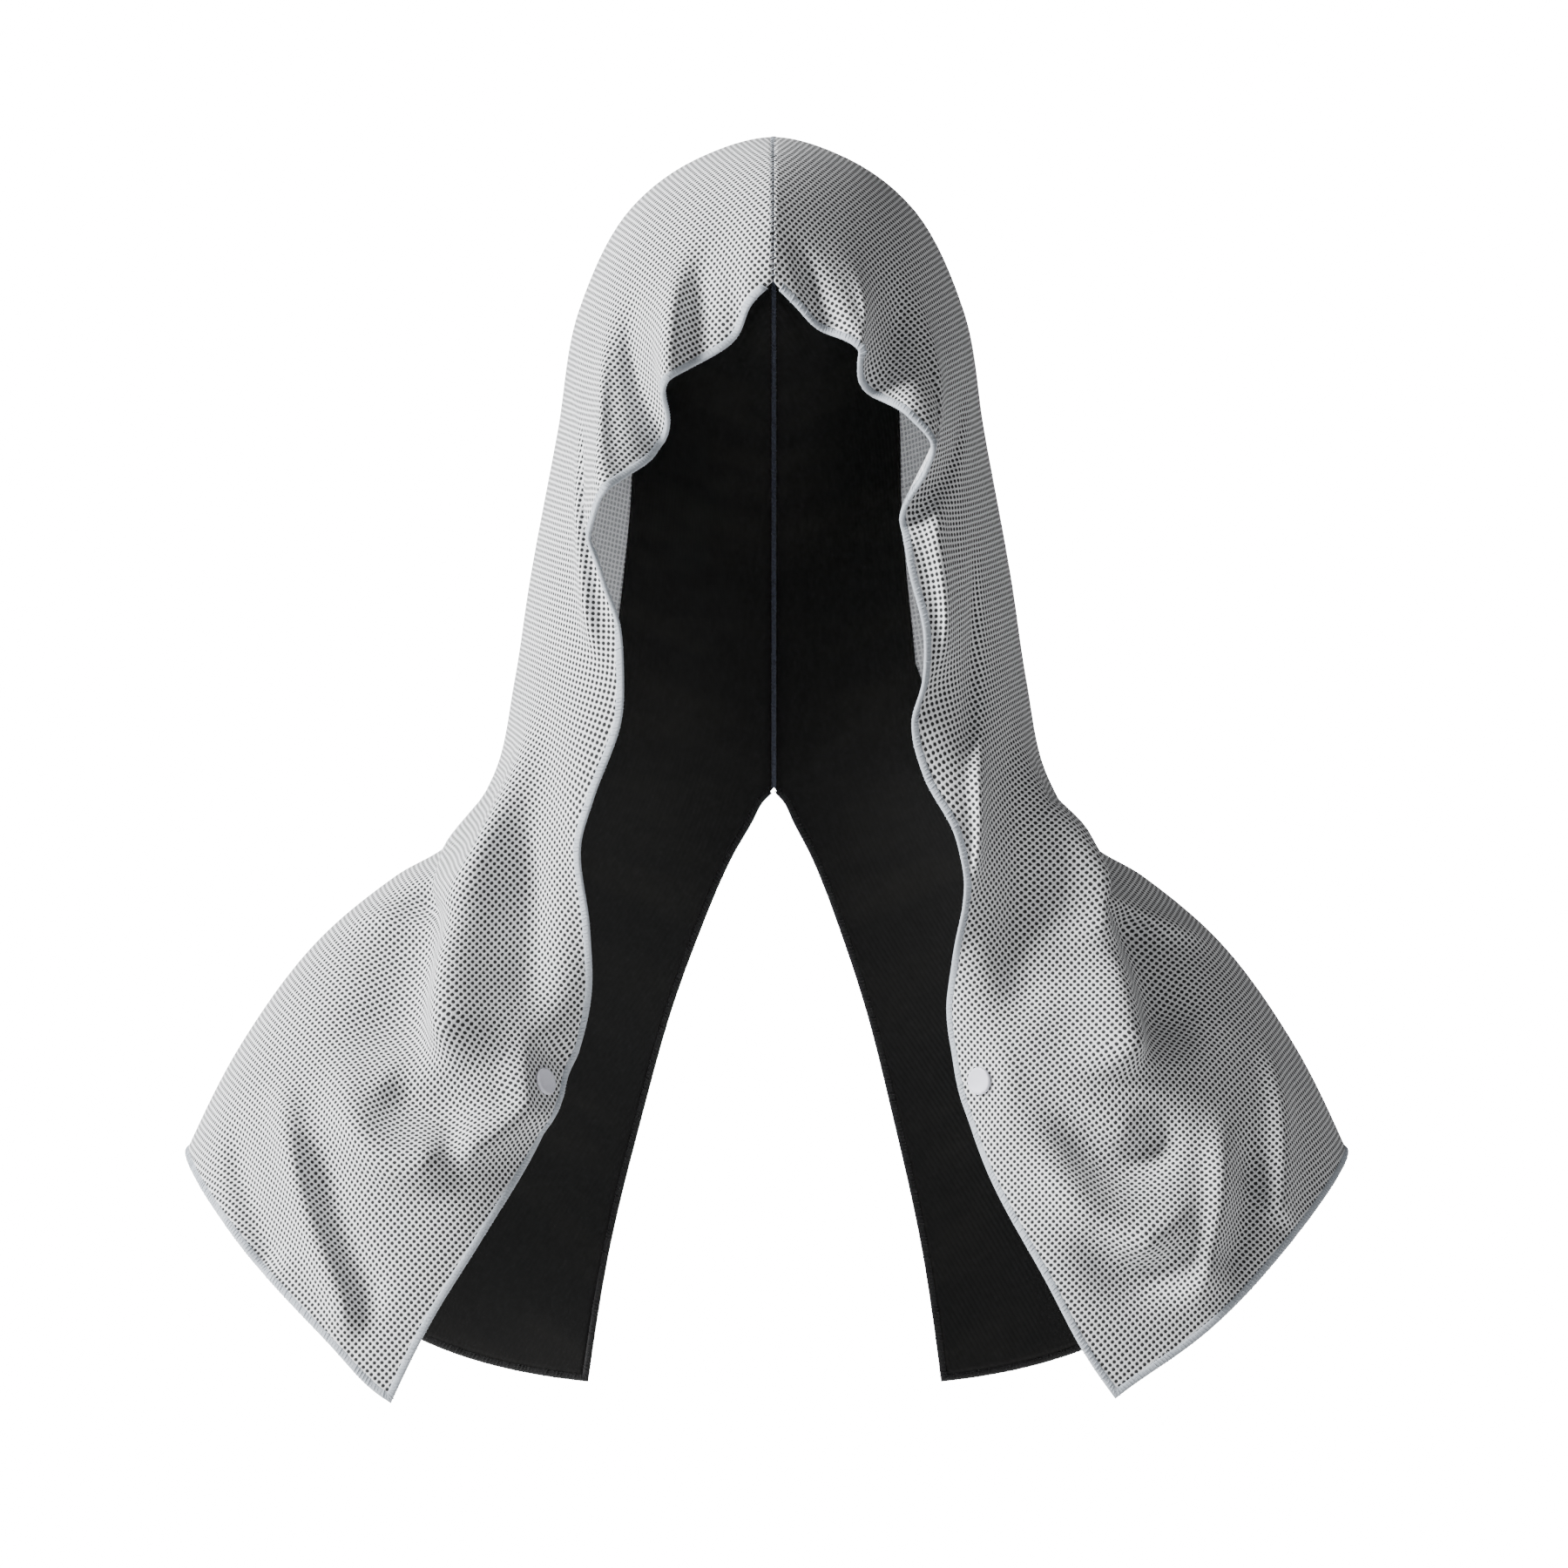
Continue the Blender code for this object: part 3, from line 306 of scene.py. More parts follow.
def clothPoints(side, levels, across):
    # points of the cloth's outer face: across[j] lists the places on the row at levels[j]
    levels = np.asarray(levels, float)
    across = np.broadcast_to(np.asarray(across, float), (len(levels), np.shape(across)[-1]))
    rows = plainRows(side, levels)
    run = lengthsAlong(rows)
    length = run[:, -1]
    points = np.empty(across.shape + (3,))
    for j in range(len(levels)):
        for k in range(3):
            points[j, :, k] = np.interp(across[j] * length[j], run[j], rows[j, :, k])
    arc = across * length[:, None]
    at = [s.level for s in towel["sections"]]
    rowEdge = smoothCurve(at, [(s.edgeOut, s.edgeDrop) for s in towel["sections"]], levels)
    turns = towel["turns"][side]
    own = smoothCurve([t.level for t in turns], [t[1:] for t in turns], levels)
    near = np.exp(-((arc / towel["edgeReach"]) ** 2))
    tucked = np.exp(-((arc / towel["tuckReach"]) ** 1.1))
    points[..., 0] += near * ((own[:, 0] - rowEdge[:, 0]) * towel["halfWidth"])[:, None]
    points[..., 1] += tucked * (own[:, 1] * towel["halfDepth"])[:, None]
    points[..., 2] -= near * ((own[:, 2] - rowEdge[:, 1]) * towel["height"])[:, None]
    for fold in towel["folds"][side]:
        push = np.array([fold.out, fold.back, -fold.drop]) * towel["foldDepth"]
        points += foldWeight(fold, arc, length, levels)[..., None] * push
    points[..., 0] *= side
    return points


def gridNormals(side, grid):
    # out of the cloth at each point
    down = np.gradient(grid, axis=0)
    across = np.gradient(grid, axis=1)
    normal = np.cross(down, across) * side
    size = np.linalg.norm(normal, axis=-1, keepdims=True)
    normal = normal / np.maximum(size, 1e-12)
    normal[0, -1] = normal[1, -2]  # both edges lie on the seam at this corner
    return normal


def besideSeam(side, grid, depth, gap=0.0003):
    # a wall that goes this deep stays on its own side of the centre seam, sliding there in its own plane
    normal = gridNormals(side, grid)
    least = gap / 2 + depth * np.abs(normal[..., 0])
    slide = side * np.maximum(least - side * grid[..., 0], 0)
    flat = normal * np.array([0, 1, 1])
    moved = grid - flat * (slide * normal[..., 0] / np.maximum((flat**2).sum(-1), 1e-6))[..., None]
    moved[..., 0] += slide
    return moved


def flattened(points, rounds=40):
    # the cloth laid out flat, each small triangle kept as near its own shape as the whole allows
    rows, columns = points.shape[:2]
    index = np.arange(rows * columns).reshape(rows, columns)
    a, b, c, d = index[:-1, :-1], index[1:, :-1], index[1:, 1:], index[:-1, 1:]
    faces = np.concatenate([np.stack(t, -1).reshape(-1, 3) for t in ((a, b, c), (a, c, d))])
    flat = points.reshape(-1, 3)
    corner = flat[faces]
    first = corner[:, 1] - corner[:, 0]
    second = corner[:, 2] - corner[:, 0]
    base = np.linalg.norm(first, axis=1)
    along = (first * second).sum(1) / base
    height = np.linalg.norm(np.cross(first, second), axis=1) / base
    own = np.zeros((len(faces), 3, 2))
    own[:, 1, 0] = base
    own[:, 2, 0] = along
    own[:, 2, 1] = height
    size = len(flat)
    matrix = np.zeros((size, size))
    sides = []
    for i in range(3):
        j, k = (i + 1) % 3, (i + 2) % 3
        u = own[:, i] - own[:, k]
        v = own[:, j] - own[:, k]
        area = np.abs(u[:, 0] * v[:, 1] - u[:, 1] * v[:, 0])
        weight = np.clip((u * v).sum(1) / np.maximum(area, 1e-12), 0.02, 8)
        sides.append((faces[:, i], faces[:, j], own[:, i] - own[:, j], weight))
        np.add.at(matrix, (faces[:, i], faces[:, i]), weight)
        np.add.at(matrix, (faces[:, j], faces[:, j]), weight)
        np.add.at(matrix, (faces[:, i], faces[:, j]), -weight)
        np.add.at(matrix, (faces[:, j], faces[:, i]), -weight)
    anchor = 1000  # holds the first corner where it is
    matrix[0, 0] += anchor
    inverse = np.linalg.inv(matrix)
    arc = lengthsAlong(points)
    drop = lengthsAlong(points.transpose(1, 0, 2)).T
    middle = columns * 3 // 5
    down = np.broadcast_to(drop[:, middle:middle + 1], arc.shape)
    place = np.stack([arc - arc[:, middle:middle + 1], -down], -1).reshape(-1, 2)
    for _ in range(rounds):
        spin = np.zeros((len(faces), 2))
        for i, j, edge, weight in sides:
            now = place[i] - place[j]
            spin[:, 0] += weight * (edge[:, 0] * now[:, 0] + edge[:, 1] * now[:, 1])
            spin[:, 1] += weight * (edge[:, 0] * now[:, 1] - edge[:, 1] * now[:, 0])
        spin /= np.maximum(np.linalg.norm(spin, axis=1, keepdims=True), 1e-12)
        pull = np.zeros((size, 2))
        for i, j, edge, weight in sides:
            turned = np.stack([
                edge[:, 0] * spin[:, 0] - edge[:, 1] * spin[:, 1],
                edge[:, 0] * spin[:, 1] + edge[:, 1] * spin[:, 0],
            ], -1) * weight[:, None]
            np.add.at(pull, i, turned)
            np.add.at(pull, j, -turned)
        pull[0] += anchor * place[0]
        place = inverse @ pull
    return place.reshape(rows, columns, 2)


def resampled(values, rowsAt, columnsAt, newRows, newColumns):
    between = np.empty((values.shape[0], len(newColumns), values.shape[2]))
    for j in range(values.shape[0]):
        for k in range(values.shape[2]):
            between[j, :, k] = np.interp(newColumns, columnsAt, values[j, :, k])
    out = np.empty((len(newRows), len(newColumns), values.shape[2]))
    for i in range(len(newColumns)):
        for k in range(values.shape[2]):
            out[:, i, k] = np.interp(newRows, rowsAt, between[:, i, k])
    return out


# materials

def linear(hexColour):
    channels = [int(hexColour[i:i + 2], 16) / 255 for i in (1, 3, 5)]
    return tuple(c / 12.92 if c <= 0.04045 else ((c + 0.055) / 1.055) ** 2.4 for c in channels) + (1,)


def addNode(tree, kind, inputs=(), **settings):
    # one node, its settings, and its inputs by name or number, each a value or the socket it is fed from
    made = tree.nodes.new(kind)
    for name, value in settings.items():
        setattr(made, name, value)
    for key, value in dict(inputs).items():
        if isinstance(value, bpy.types.NodeSocket):
            tree.links.new(value, made.inputs[key])
        else:
            made.inputs[key].default_value = value
    return made


def newMaterial(name):
    made = bpy.data.materials.new(name)
    made.use_nodes = True
    tree = made.node_tree
    return made, tree, tree.nodes["Principled BSDF"]


def setShader(shader, **values):
    for name, value in values.items():
        shader.inputs[name.replace("_", " ")].default_value = value


def feedShader(tree, shader, colour, bump):
    tree.links.new(colour.outputs[2], shader.inputs["Base Color"])
    tree.links.new(bump.outputs[0], shader.inputs["Normal"])


def dimpleField(tree, look):
    # 1 in the middle of each dimple and 0 on the cloth between, on the square grid of the grain
    grain = addNode(tree, "ShaderNodeUVMap", uv_map="clothGrain")
    wander = addNode(tree, "ShaderNodeTexNoise", {"Vector": grain.outputs[0], "Scale": 190, "Detail": 1.0})
    shifted = addNode(
        tree, "ShaderNodeVectorMath", {0: wander.outputs["Color"], 1: (0.5, 0.5, 0.5)}, operation="SUBTRACT"
    )
    nudge = addNode(tree, "ShaderNodeVectorMath", {0: shifted.outputs[0], "Scale": look["wander"]}, operation="SCALE")
    strayed = addNode(tree, "ShaderNodeVectorMath", {0: grain.outputs[0], 1: nudge.outputs[0]}, operation="ADD")
    away = strayed
    for step, inputs in (
        ("SCALE", {"Scale": 1 / look["pitch"]}),
        ("FRACTION", {}),
        ("SUBTRACT", {1: (0.5, 0.5, 0)}),
        ("MULTIPLY", {1: (1, 1, 0)}),
        ("LENGTH", {}),
    ):
        away = addNode(tree, "ShaderNodeVectorMath", {0: away.outputs[0], **inputs}, operation=step)
    return grain, addNode(tree, "ShaderNodeMapRange", {
        "Value": away.outputs["Value"],
        "From Min": look["dimple"] * 0.72 / look["pitch"],
        "From Max": look["dimple"] * 1.38 / look["pitch"],
        "To Min": 1.0,
        "To Max": 0.0,
    }, interpolation_type="SMOOTHSTEP")


meshLook = {
    "pitch": 0.00242,  # metres from dimple to dimple
    "dimple": 0.00080,  # radius
    "wander": 0.00030,  # how far the dimples stray from their grid
    "ground": "#E9EAEC",
    "shade": "#D9DBDE",
    # dark colour painted into each dimple: painted shade standing in for the shade in the pit
    "hole": "#1C1D1F",
    "roughness": 0.85,
}


def meshCloth(name, look, holeShare, depth):
    # warp-knitted polyester mesh: matt and soft, each dimple a small pit in a light ground, its dark dot painted shade
    # for the shade that falls in the pit
    made, tree, shader = newMaterial(name)
    grain, dimples = dimpleField(tree, look)
    mottle = addNode(tree, "ShaderNodeTexNoise", {"Vector": grain.outputs[0], "Scale": 34, "Detail": 3.0})
    ground = addNode(tree, "ShaderNodeMix", {
        0: mottle.outputs[0], 6: linear(look["ground"]), 7: linear(look["shade"]),
    }, data_type="RGBA")
    # yarn about 0.6 mm across
    yarn = addNode(tree, "ShaderNodeTexNoise", {"Vector": grain.outputs[0], "Scale": 1500, "Detail": 1.0})
    # how strongly the dimples are darkened with painted shade
    share = addNode(tree, "ShaderNodeMath", {0: dimples.outputs[0], 1: holeShare}, operation="MULTIPLY")
    colour = addNode(tree, "ShaderNodeMix", {
        0: share.outputs[0], 6: ground.outputs[2], 7: linear(look["hole"]),
    }, data_type="RGBA")
    pit = addNode(tree, "ShaderNodeMath", {0: dimples.outputs[0], 1: -1.0}, operation="MULTIPLY")
    height = addNode(
        tree, "ShaderNodeMath", {0: yarn.outputs[0], 1: 0.22, 2: pit.outputs[0]}, operation="MULTIPLY_ADD"
    )
    bump = addNode(tree, "ShaderNodeBump", {"Strength": 0.55, "Distance": depth, "Height": height.outputs[0]})
    feedShader(tree, shader, colour, bump)
    setShader(shader, Roughness=look["roughness"], Sheen_Weight=0.12, Sheen_Roughness=0.5, Specular_IOR_Level=0.3)
    return made


liningLook = {"ground": "#050505", "sheen": "#12110F", "roughness": 0.66}


def blackKnit(look):
    # fine polyester knit, dyed black: near black, with a faint warm sheen that runs slantwise
    made, tree, shader = newMaterial("blackKnitLining")
    grain = addNode(tree, "ShaderNodeUVMap", uv_map="clothGrain")
    slanted = addNode(tree, "ShaderNodeMapping", {
        "Vector": grain.outputs[0], "Rotation": (0, 0, 0.6), "Scale": (9, 42, 1),
    })
    streaks = addNode(tree, "ShaderNodeTexNoise", {"Vector": slanted.outputs[0], "Scale": 1.0, "Detail": 4.0})
    sharper = addNode(tree, "ShaderNodeMapRange", {"Value": streaks.outputs[0], "From Min": 0.45, "From Max": 0.75})
    colour = addNode(tree, "ShaderNodeMix", {
        0: sharper.outputs[0], 6: linear(look["ground"]), 7: linear(look["sheen"]),
    }, data_type="RGBA")
    # wales about 2.2 mm apart, coarser than the real 0.7 so that they show
    ribs = addNode(tree, "ShaderNodeTexWave", {
        "Vector": grain.outputs[0], "Scale": 140, "Distortion": 0.4,
    }, bands_direction="X")
    bump = addNode(tree, "ShaderNodeBump", {"Strength": 0.25, "Distance": 0.0002, "Height": ribs.outputs["Fac"]})
    feedShader(tree, shader, colour, bump)
    setShader(shader, Roughness=look["roughness"], Sheen_Weight=0.05, Sheen_Roughness=0.4, Specular_IOR_Level=0.25)
    return made


def spunThread(name, dark, light):
    # spun polyester sewing thread: twisted, slightly fuzzy, lighter where its plies catch the light
    made, tree, shader = newMaterial(name)
    place = addNode(tree, "ShaderNodeTexCoord")
    # plies about 0.7 mm long
    plies = addNode(tree, "ShaderNodeTexNoise", {"Vector": place.outputs["Object"], "Scale": 1400, "Detail": 2.0})
    colour = addNode(tree, "ShaderNodeMix", {
        0: plies.outputs[0], 6: linear(dark), 7: linear(light),
    }, data_type="RGBA")
    bump = addNode(tree, "ShaderNodeBump", {"Strength": 0.4, "Distance": 0.00015, "Height": plies.outputs[0]})
    feedShader(tree, shader, colour, bump)
    setShader(shader, Roughness=0.65, Sheen_Weight=0.1, Specular_IOR_Level=0.35)
    return made


def mouldedAcetal():
    # acetal resin snap, injection moulded: pale lavender grey with a satin skin and a faint flow mark
    made, tree, shader = newMaterial("mouldedAcetalSnap")
    place = addNode(tree, "ShaderNodeTexCoord")
    flow = addNode(tree, "ShaderNodeTexNoise", {"Vector": place.outputs["Object"], "Scale": 260, "Detail": 2.0})
    colour = addNode(tree, "ShaderNodeMix", {
        0: flow.outputs[0], 6: linear("#CDCDDA"), 7: linear("#DADAE4"),
    }, data_type="RGBA")
    gloss = addNode(tree, "ShaderNodeMapRange", {"Value": flow.outputs[0], "To Min": 0.32, "To Max": 0.46})
    tree.links.new(colour.outputs[2], shader.inputs["Base Color"])
    tree.links.new(gloss.outputs[0], shader.inputs["Roughness"])
    setShader(shader, IOR=1.48)
    return made


meshFace = meshCloth("knittedMeshFace", meshLook, 1.0, 0.0009)
# the smoother reverse gets a lighter painted shade in its dimples, at 0.7 strength
meshBack = meshCloth("knittedMeshReverse", dict(meshLook, hole="#8C8E92"), 0.7, 0.0005)
liningKnit = blackKnit(liningLook)
lightThread = spunThread("lightSpunThread", "#8F969F", "#C3C9D0")
blackThread = spunThread("blackSpunThread", "#070707", "#161618")
seamThread = spunThread("blueGreySpunThread", "#20242D", "#4A5160")
snapPlastic = mouldedAcetal()
print("materials made")


# cloth

panel = {
    "rows": 226,
    "columns": 150,
    "wall": 0.0012,
    "edgeInset": 0.00115,  # from the towel's outline, which the overlocking makes, to the cloth's own edge
    "grainRows": 60,
    "grainColumns": 48,
    "flatSize": (0.47, 0.60),  # the piece that it is cut from, width and length
    "area": 0.191,
}
snapPlace = {
    "level": {-1: 0.727, 1: 0.733},
    "inset": 0.0115,
    "flat": 0.012,  # how far round it the cloth lies flat
}


def acrossLines(count):
    # closer together in the front half, where the folds are
    return np.interp(np.linspace(0, 1, count), [0, 0.68, 1], [0, 0.5, 1])


def rowPerWidth(side, levels):
    # how far along a row goes one unit of width square to the front edge, which the rows meet at a slant
    start = clothPoints(side, levels, [0, 0.01])
    row = start[:, 1] - start[:, 0]
    edge = np.gradient(start[:, 0], axis=0)
    square = np.linalg.norm(np.cross(row, edge), axis=1)
    return 1 / np.clip(square / np.linalg.norm(row, axis=1) / np.linalg.norm(edge, axis=1), 0.5, 1)


def snapSeat(side):
    level = snapPlace["level"][side]
    levels = np.array([level - 0.006, level, level + 0.006])
    share = snapPlace["inset"] / rowLength(side, levels)[1]
    grid = clothPoints(side, levels, [share * 0.5, share, share * 1.5])
    return grid[1, 1], gridNormals(side, grid)[1, 1]


def flatRoundSnap(side, grid):
    place, out = snapSeat(side)
    away = grid - place
    hold = 1 - ease((np.linalg.norm(away, axis=-1) - snapPlace["flat"]) / snapPlace["flat"])
    return grid - ((away @ out) * hold)[..., None] * out


def panelGrid(side, rowCount, columnCount):
    inset = panel["edgeInset"]
    levels = np.linspace(0, 1 - inset / towel["panelLength"], rowCount)
    length = rowLength(side, levels)
    start = inset * rowPerWidth(side, levels) / length
    end = 1 - np.clip((levels - towel["splitLevel"]) / 0.015, 0, 1) * inset / length
    places = start[:, None] + acrossLines(columnCount)[None] * (end - start)[:, None]
    grid = flatRoundSnap(side, clothPoints(side, levels, places))
    return levels, places, besideSeam(side, grid, panel["wall"])


def clothSheet(name, side, outer, wall, grain, faceMaterial, backMaterial):
    # closed cloth: an outer face, an inner face one wall behind it, and its cut edges
    rows, columns = outer.shape[:2]
    inner = outer - gridNormals(side, outer) * wall
    size = rows * columns
    index = np.arange(size).reshape(rows, columns)
    quads = np.stack([index[:-1, :-1], index[1:, :-1], index[1:, 1:], index[:-1, 1:]], -1).reshape(-1, 4)
    outerFaces = quads if side > 0 else quads[:, ::-1]
    innerFaces = outerFaces[:, ::-1] + size
    loop = np.concatenate([index[:-1, 0], index[-1, :-1], index[:0:-1, -1], index[0, :0:-1]])
    after = np.roll(loop, -1)
    rim = np.stack([loop, loop + size, after + size, after], -1)
    if side < 0:
        rim = rim[:, ::-1]
    faces = np.concatenate([outerFaces, innerFaces, rim])
    mesh = bpy.data.meshes.new(name)
    mesh.from_pydata(np.concatenate([outer.reshape(-1, 3), inner.reshape(-1, 3)]).tolist(), [], faces.tolist())
    mesh.materials.append(faceMaterial)
    mesh.materials.append(backMaterial)
    kinds = np.concatenate([np.zeros(len(quads), int), np.ones(len(quads), int), np.zeros(len(rim), int)])
    mesh.polygons.foreach_set("material_index", kinds)
    smooth = np.concatenate([np.ones(2 * len(quads), bool), np.zeros(len(rim), bool)])
    mesh.polygons.foreach_set("use_smooth", smooth)
    uv = mesh.uv_layers.new(name="clothGrain")
    flat = grain.reshape(-1, 2)
    uv.data.foreach_set("uv", flat[faces.reshape(-1) % size].ravel())
    mesh.update()
    made = bpy.data.objects.new(name, mesh)
    bpy.context.collection.objects.link(made)
    return made


def panelGrain(side):
    # the grain of one panel: its cloth laid flat, turned so that the columns of holes hang straight down
    share = 1
    levels, places, points = panelGrid(side, panel["grainRows"] // share, panel["grainColumns"] // share)
    flat = flattened(points)
    hang = flat[-1, flat.shape[1] // 2] - flat[0, flat.shape[1] // 2]
    turn = -math.pi / 2 - math.atan2(hang[1], hang[0])
    spin = np.array([[math.cos(turn), math.sin(turn)], [-math.sin(turn), math.cos(turn)]])
    return levels, (flat - flat[0, 0]) @ spin


lining = {
    "start": {-1: 0.69, 1: 0.72},  # across the panel, where it shows in front
    "wall": 0.0010,
    "gap": 0.0003,
    "shortOfHem": 0.0030,
    "columns": 60,
    "rows": 200,
    "flatSize": (0.15, 0.58),
    "area": {-1: 0.054, 1: 0.048},
}


def liningGrid(side):
    levels = np.linspace(0, 1 - lining["shortOfHem"] / towel["panelLength"], lining["rows"])
    length = rowLength(side, levels)
    end = 1 - np.clip((levels - towel["splitLevel"]) / 0.022, 0, 1) * lining["shortOfHem"] / length
    start = np.full(len(levels), lining["start"][side])
    places = start[:, None] + np.linspace(0, 1, lining["columns"])[None] * (end - start)[:, None]
    grid = clothPoints(side, levels, places)
    grid = grid - gridNormals(side, grid) * (panel["wall"] + lining["gap"])
    return levels, places, besideSeam(side, grid, lining["wall"])


panels = {}
liningPieces = {}
for side, word in ((-1, "Left"), (1, "Right")):
    levels, places, outer = panelGrid(side, panel["rows"], panel["columns"])
    grainLevels, flat = panelGrain(side)
    coarse = acrossLines(flat.shape[1])
    grain = resampled(flat, grainLevels, coarse, levels, acrossLines(panel["columns"]))
    cloth = clothSheet("meshPanel" + word, side, outer, panel["wall"], grain, meshFace, meshBack)
    panels[side] = {"levels": levels, "places": places, "outer": outer, "cloth": cloth}
    print("panel", word, len(cloth.data.polygons), "faces")
    levels, places, inside = liningGrid(side)
    grain = resampled(flat, grainLevels, coarse, levels, places[0])
    piece = clothSheet("lining" + word, side, inside, lining["wall"], grain, liningKnit, liningKnit)
    liningPieces[side] = piece
    print("lining", word, len(piece.data.polygons), "faces")


# overlocked edges and seams

def unit(vectors):
    return vectors / np.maximum(np.linalg.norm(vectors, axis=-1, keepdims=True), 1e-12)


def edgeRun(edge, out, inward, corner=None, clear=0.0036):
    # a path along the cloth's edge with its frames: out of the cloth, and off its edge, longer at a corner
    keep = np.ones(len(edge), bool)
    if corner is not None:
        near = np.linalg.norm(edge - edge[corner], axis=1) < clear
        near[corner] = False
        keep &= ~near
        corner = int(keep[:corner].sum())
    edge, out, inward = edge[keep], out[keep], inward[keep]
    step = unit(np.diff(edge, axis=0))
    before = np.concatenate([step[:1], step])
    after = np.concatenate([step, step[-1:]])
    along = unit(before + after)
    beyond = unit(np.cross(along, out))
    beyond *= np.where((beyond * inward).sum(-1, keepdims=True) > 0, -1.0, 1.0)
    stretch = 1 / np.sqrt(np.clip((1 + (before * after).sum(-1)) / 2, 0.3, 1))
    square = unit(np.cross(beyond, np.cross(out, beyond)))
    return {"edge": edge, "out": square, "beyond": beyond, "stretch": stretch}


def bandAlong(name, run, section, material):
    # a closed band swept along an edge; section lists (off the edge, out of the cloth) round it
    rings = np.array([
        [e + b * (s * across) + o * up for across, up in section]
        for e, o, b, s in zip(run["edge"], run["out"], run["beyond"], run["stretch"])
    ])
    count, around = rings.shape[:2]
    index = np.arange(count * around).reshape(count, around)
    after = np.roll(index, -1, axis=1)
    faces = np.stack([index[:-1], after[:-1], after[1:], index[1:]], -1).reshape(-1, 4).tolist()
    faces += [index[0, ::-1].tolist(), index[-1].tolist()]
    mesh = bpy.data.meshes.new(name)
    mesh.from_pydata(rings.reshape(-1, 3).tolist(), [], faces)
    mesh.materials.append(material)
    mesh.polygons.foreach_set("use_smooth", [True] * len(mesh.polygons))
    mesh.update()
    bm = bmesh.new()
    bm.from_mesh(mesh)
    bmesh.ops.recalc_face_normals(bm, faces=bm.faces)
    bm.to_mesh(mesh)
    bm.free()
    made = bpy.data.objects.new(name, mesh)
    bpy.context.collection.objects.link(made)
    return made


def buildStitchTree():
    # loops of thread round a path: the path carries out and beyond as vectors
    tree = bpy.data.node_groups.new("threadLoops", "GeometryNodeTree")
    face = tree.interface
    face.new_socket("Geometry", in_out="INPUT", socket_type="NodeSocketGeometry")
    for name in ("Pitch", "Reach", "Rise", "Thread", "Lean", "Offset"):
        face.new_socket(name, in_out="INPUT", socket_type="NodeSocketFloat")
    face.new_socket("Material", in_out="INPUT", socket_type="NodeSocketMaterial")
    face.new_socket("Geometry", in_out="OUTPUT", socket_type="NodeSocketGeometry")
    given = addNode(tree, "NodeGroupInput")
    path = addNode(tree, "GeometryNodeMeshToCurve", {"Mesh": given.outputs["Geometry"]})
    beads = addNode(tree, "GeometryNodeResampleCurve", {
        "Curve": path.outputs[0], "Length": given.outputs["Pitch"],
    }, mode="LENGTH")
    out = addNode(tree, "GeometryNodeInputNamedAttribute", {"Name": "out"}, data_type="FLOAT_VECTOR")
    beyond = addNode(tree, "GeometryNodeInputNamedAttribute", {"Name": "beyond"}, data_type="FLOAT_VECTOR")
    frameTurn = addNode(tree, "FunctionNodeAxesToRotation", {
        0: out.outputs[0], 1: beyond.outputs[0],
    }, primary_axis="Z", secondary_axis="Y")
    loop = addNode(tree, "GeometryNodeCurvePrimitiveCircle", {"Resolution": 9, "Radius": 1.0})
    size = addNode(tree, "ShaderNodeCombineXYZ", {
        0: given.outputs["Rise"], 1: given.outputs["Reach"], 2: given.outputs["Rise"],
    })
    lean = addNode(tree, "ShaderNodeCombineXYZ", {2: given.outputs["Lean"]})
    offset = addNode(tree, "ShaderNodeCombineXYZ", {1: given.outputs["Offset"]})
    # stood upright, drawn to size, leant over and moved off the path
    for word, value in (
        ("Rotation", (0, math.pi / 2, 0)),
        ("Scale", size.outputs[0]),
        ("Rotation", lean.outputs[0]),
        ("Translation", offset.outputs[0]),
    ):
        loop = addNode(tree, "GeometryNodeTransform", {"Geometry": loop.outputs[0], word: value})
    strand = addNode(tree, "GeometryNodeCurvePrimitiveCircle", {"Resolution": 4, "Radius": given.outputs["Thread"]})
    thread = addNode(tree, "GeometryNodeCurveToMesh", {
        "Curve": loop.outputs[0], "Profile Curve": strand.outputs[0],
    })
    waver = addNode(tree, "FunctionNodeRandomValue", {2: 0.88, 3: 1.12, "Seed": 7})
    many = addNode(tree, "GeometryNodeInstanceOnPoints", {
        "Points": beads.outputs[0],
        "Instance": thread.outputs[0],
        "Rotation": frameTurn.outputs[0],
        "Scale": waver.outputs[1],
    })
    real = addNode(tree, "GeometryNodeRealizeInstances", {0: many.outputs[0]})
    smooth = addNode(tree, "GeometryNodeSetShadeSmooth", {"Geometry": real.outputs[0]})
    coloured = addNode(tree, "GeometryNodeSetMaterial", {
        "Geometry": smooth.outputs[0], "Material": given.outputs["Material"],
    })
    addNode(tree, "NodeGroupOutput", {0: coloured.outputs[0]})
    return tree


stitchTree = buildStitchTree()


def threadLoops(name, run, material, **sizes):
    mesh = bpy.data.meshes.new(name + "Path")
    points = run["edge"]
    mesh.from_pydata(points.tolist(), [(i, i + 1) for i in range(len(points) - 1)], [])
    for word in ("out", "beyond"):
        kept = mesh.attributes.new(word, "FLOAT_VECTOR", "POINT")
        kept.data.foreach_set("vector", run[word].ravel())
    path = bpy.data.objects.new(name + "Path", mesh)
    bpy.context.collection.objects.link(path)
    modifier = path.modifiers.new("loops", "NODES")
    modifier.node_group = stitchTree
    sockets = stitchTree.interface.items_tree
    identifiers = {item.name: item.identifier for item in sockets if item.in_out == "INPUT"}
    for word, value in sizes.items():
        modifier[identifiers[word]] = value
    modifier[identifiers["Material"]] = material
    bpy.context.view_layer.update()
    shown = path.evaluated_get(bpy.context.evaluated_depsgraph_get())
    made = bpy.data.objects.new(name, bpy.data.meshes.new_from_object(shown))
    bpy.context.collection.objects.link(made)
    bpy.data.objects.remove(path)
    return made


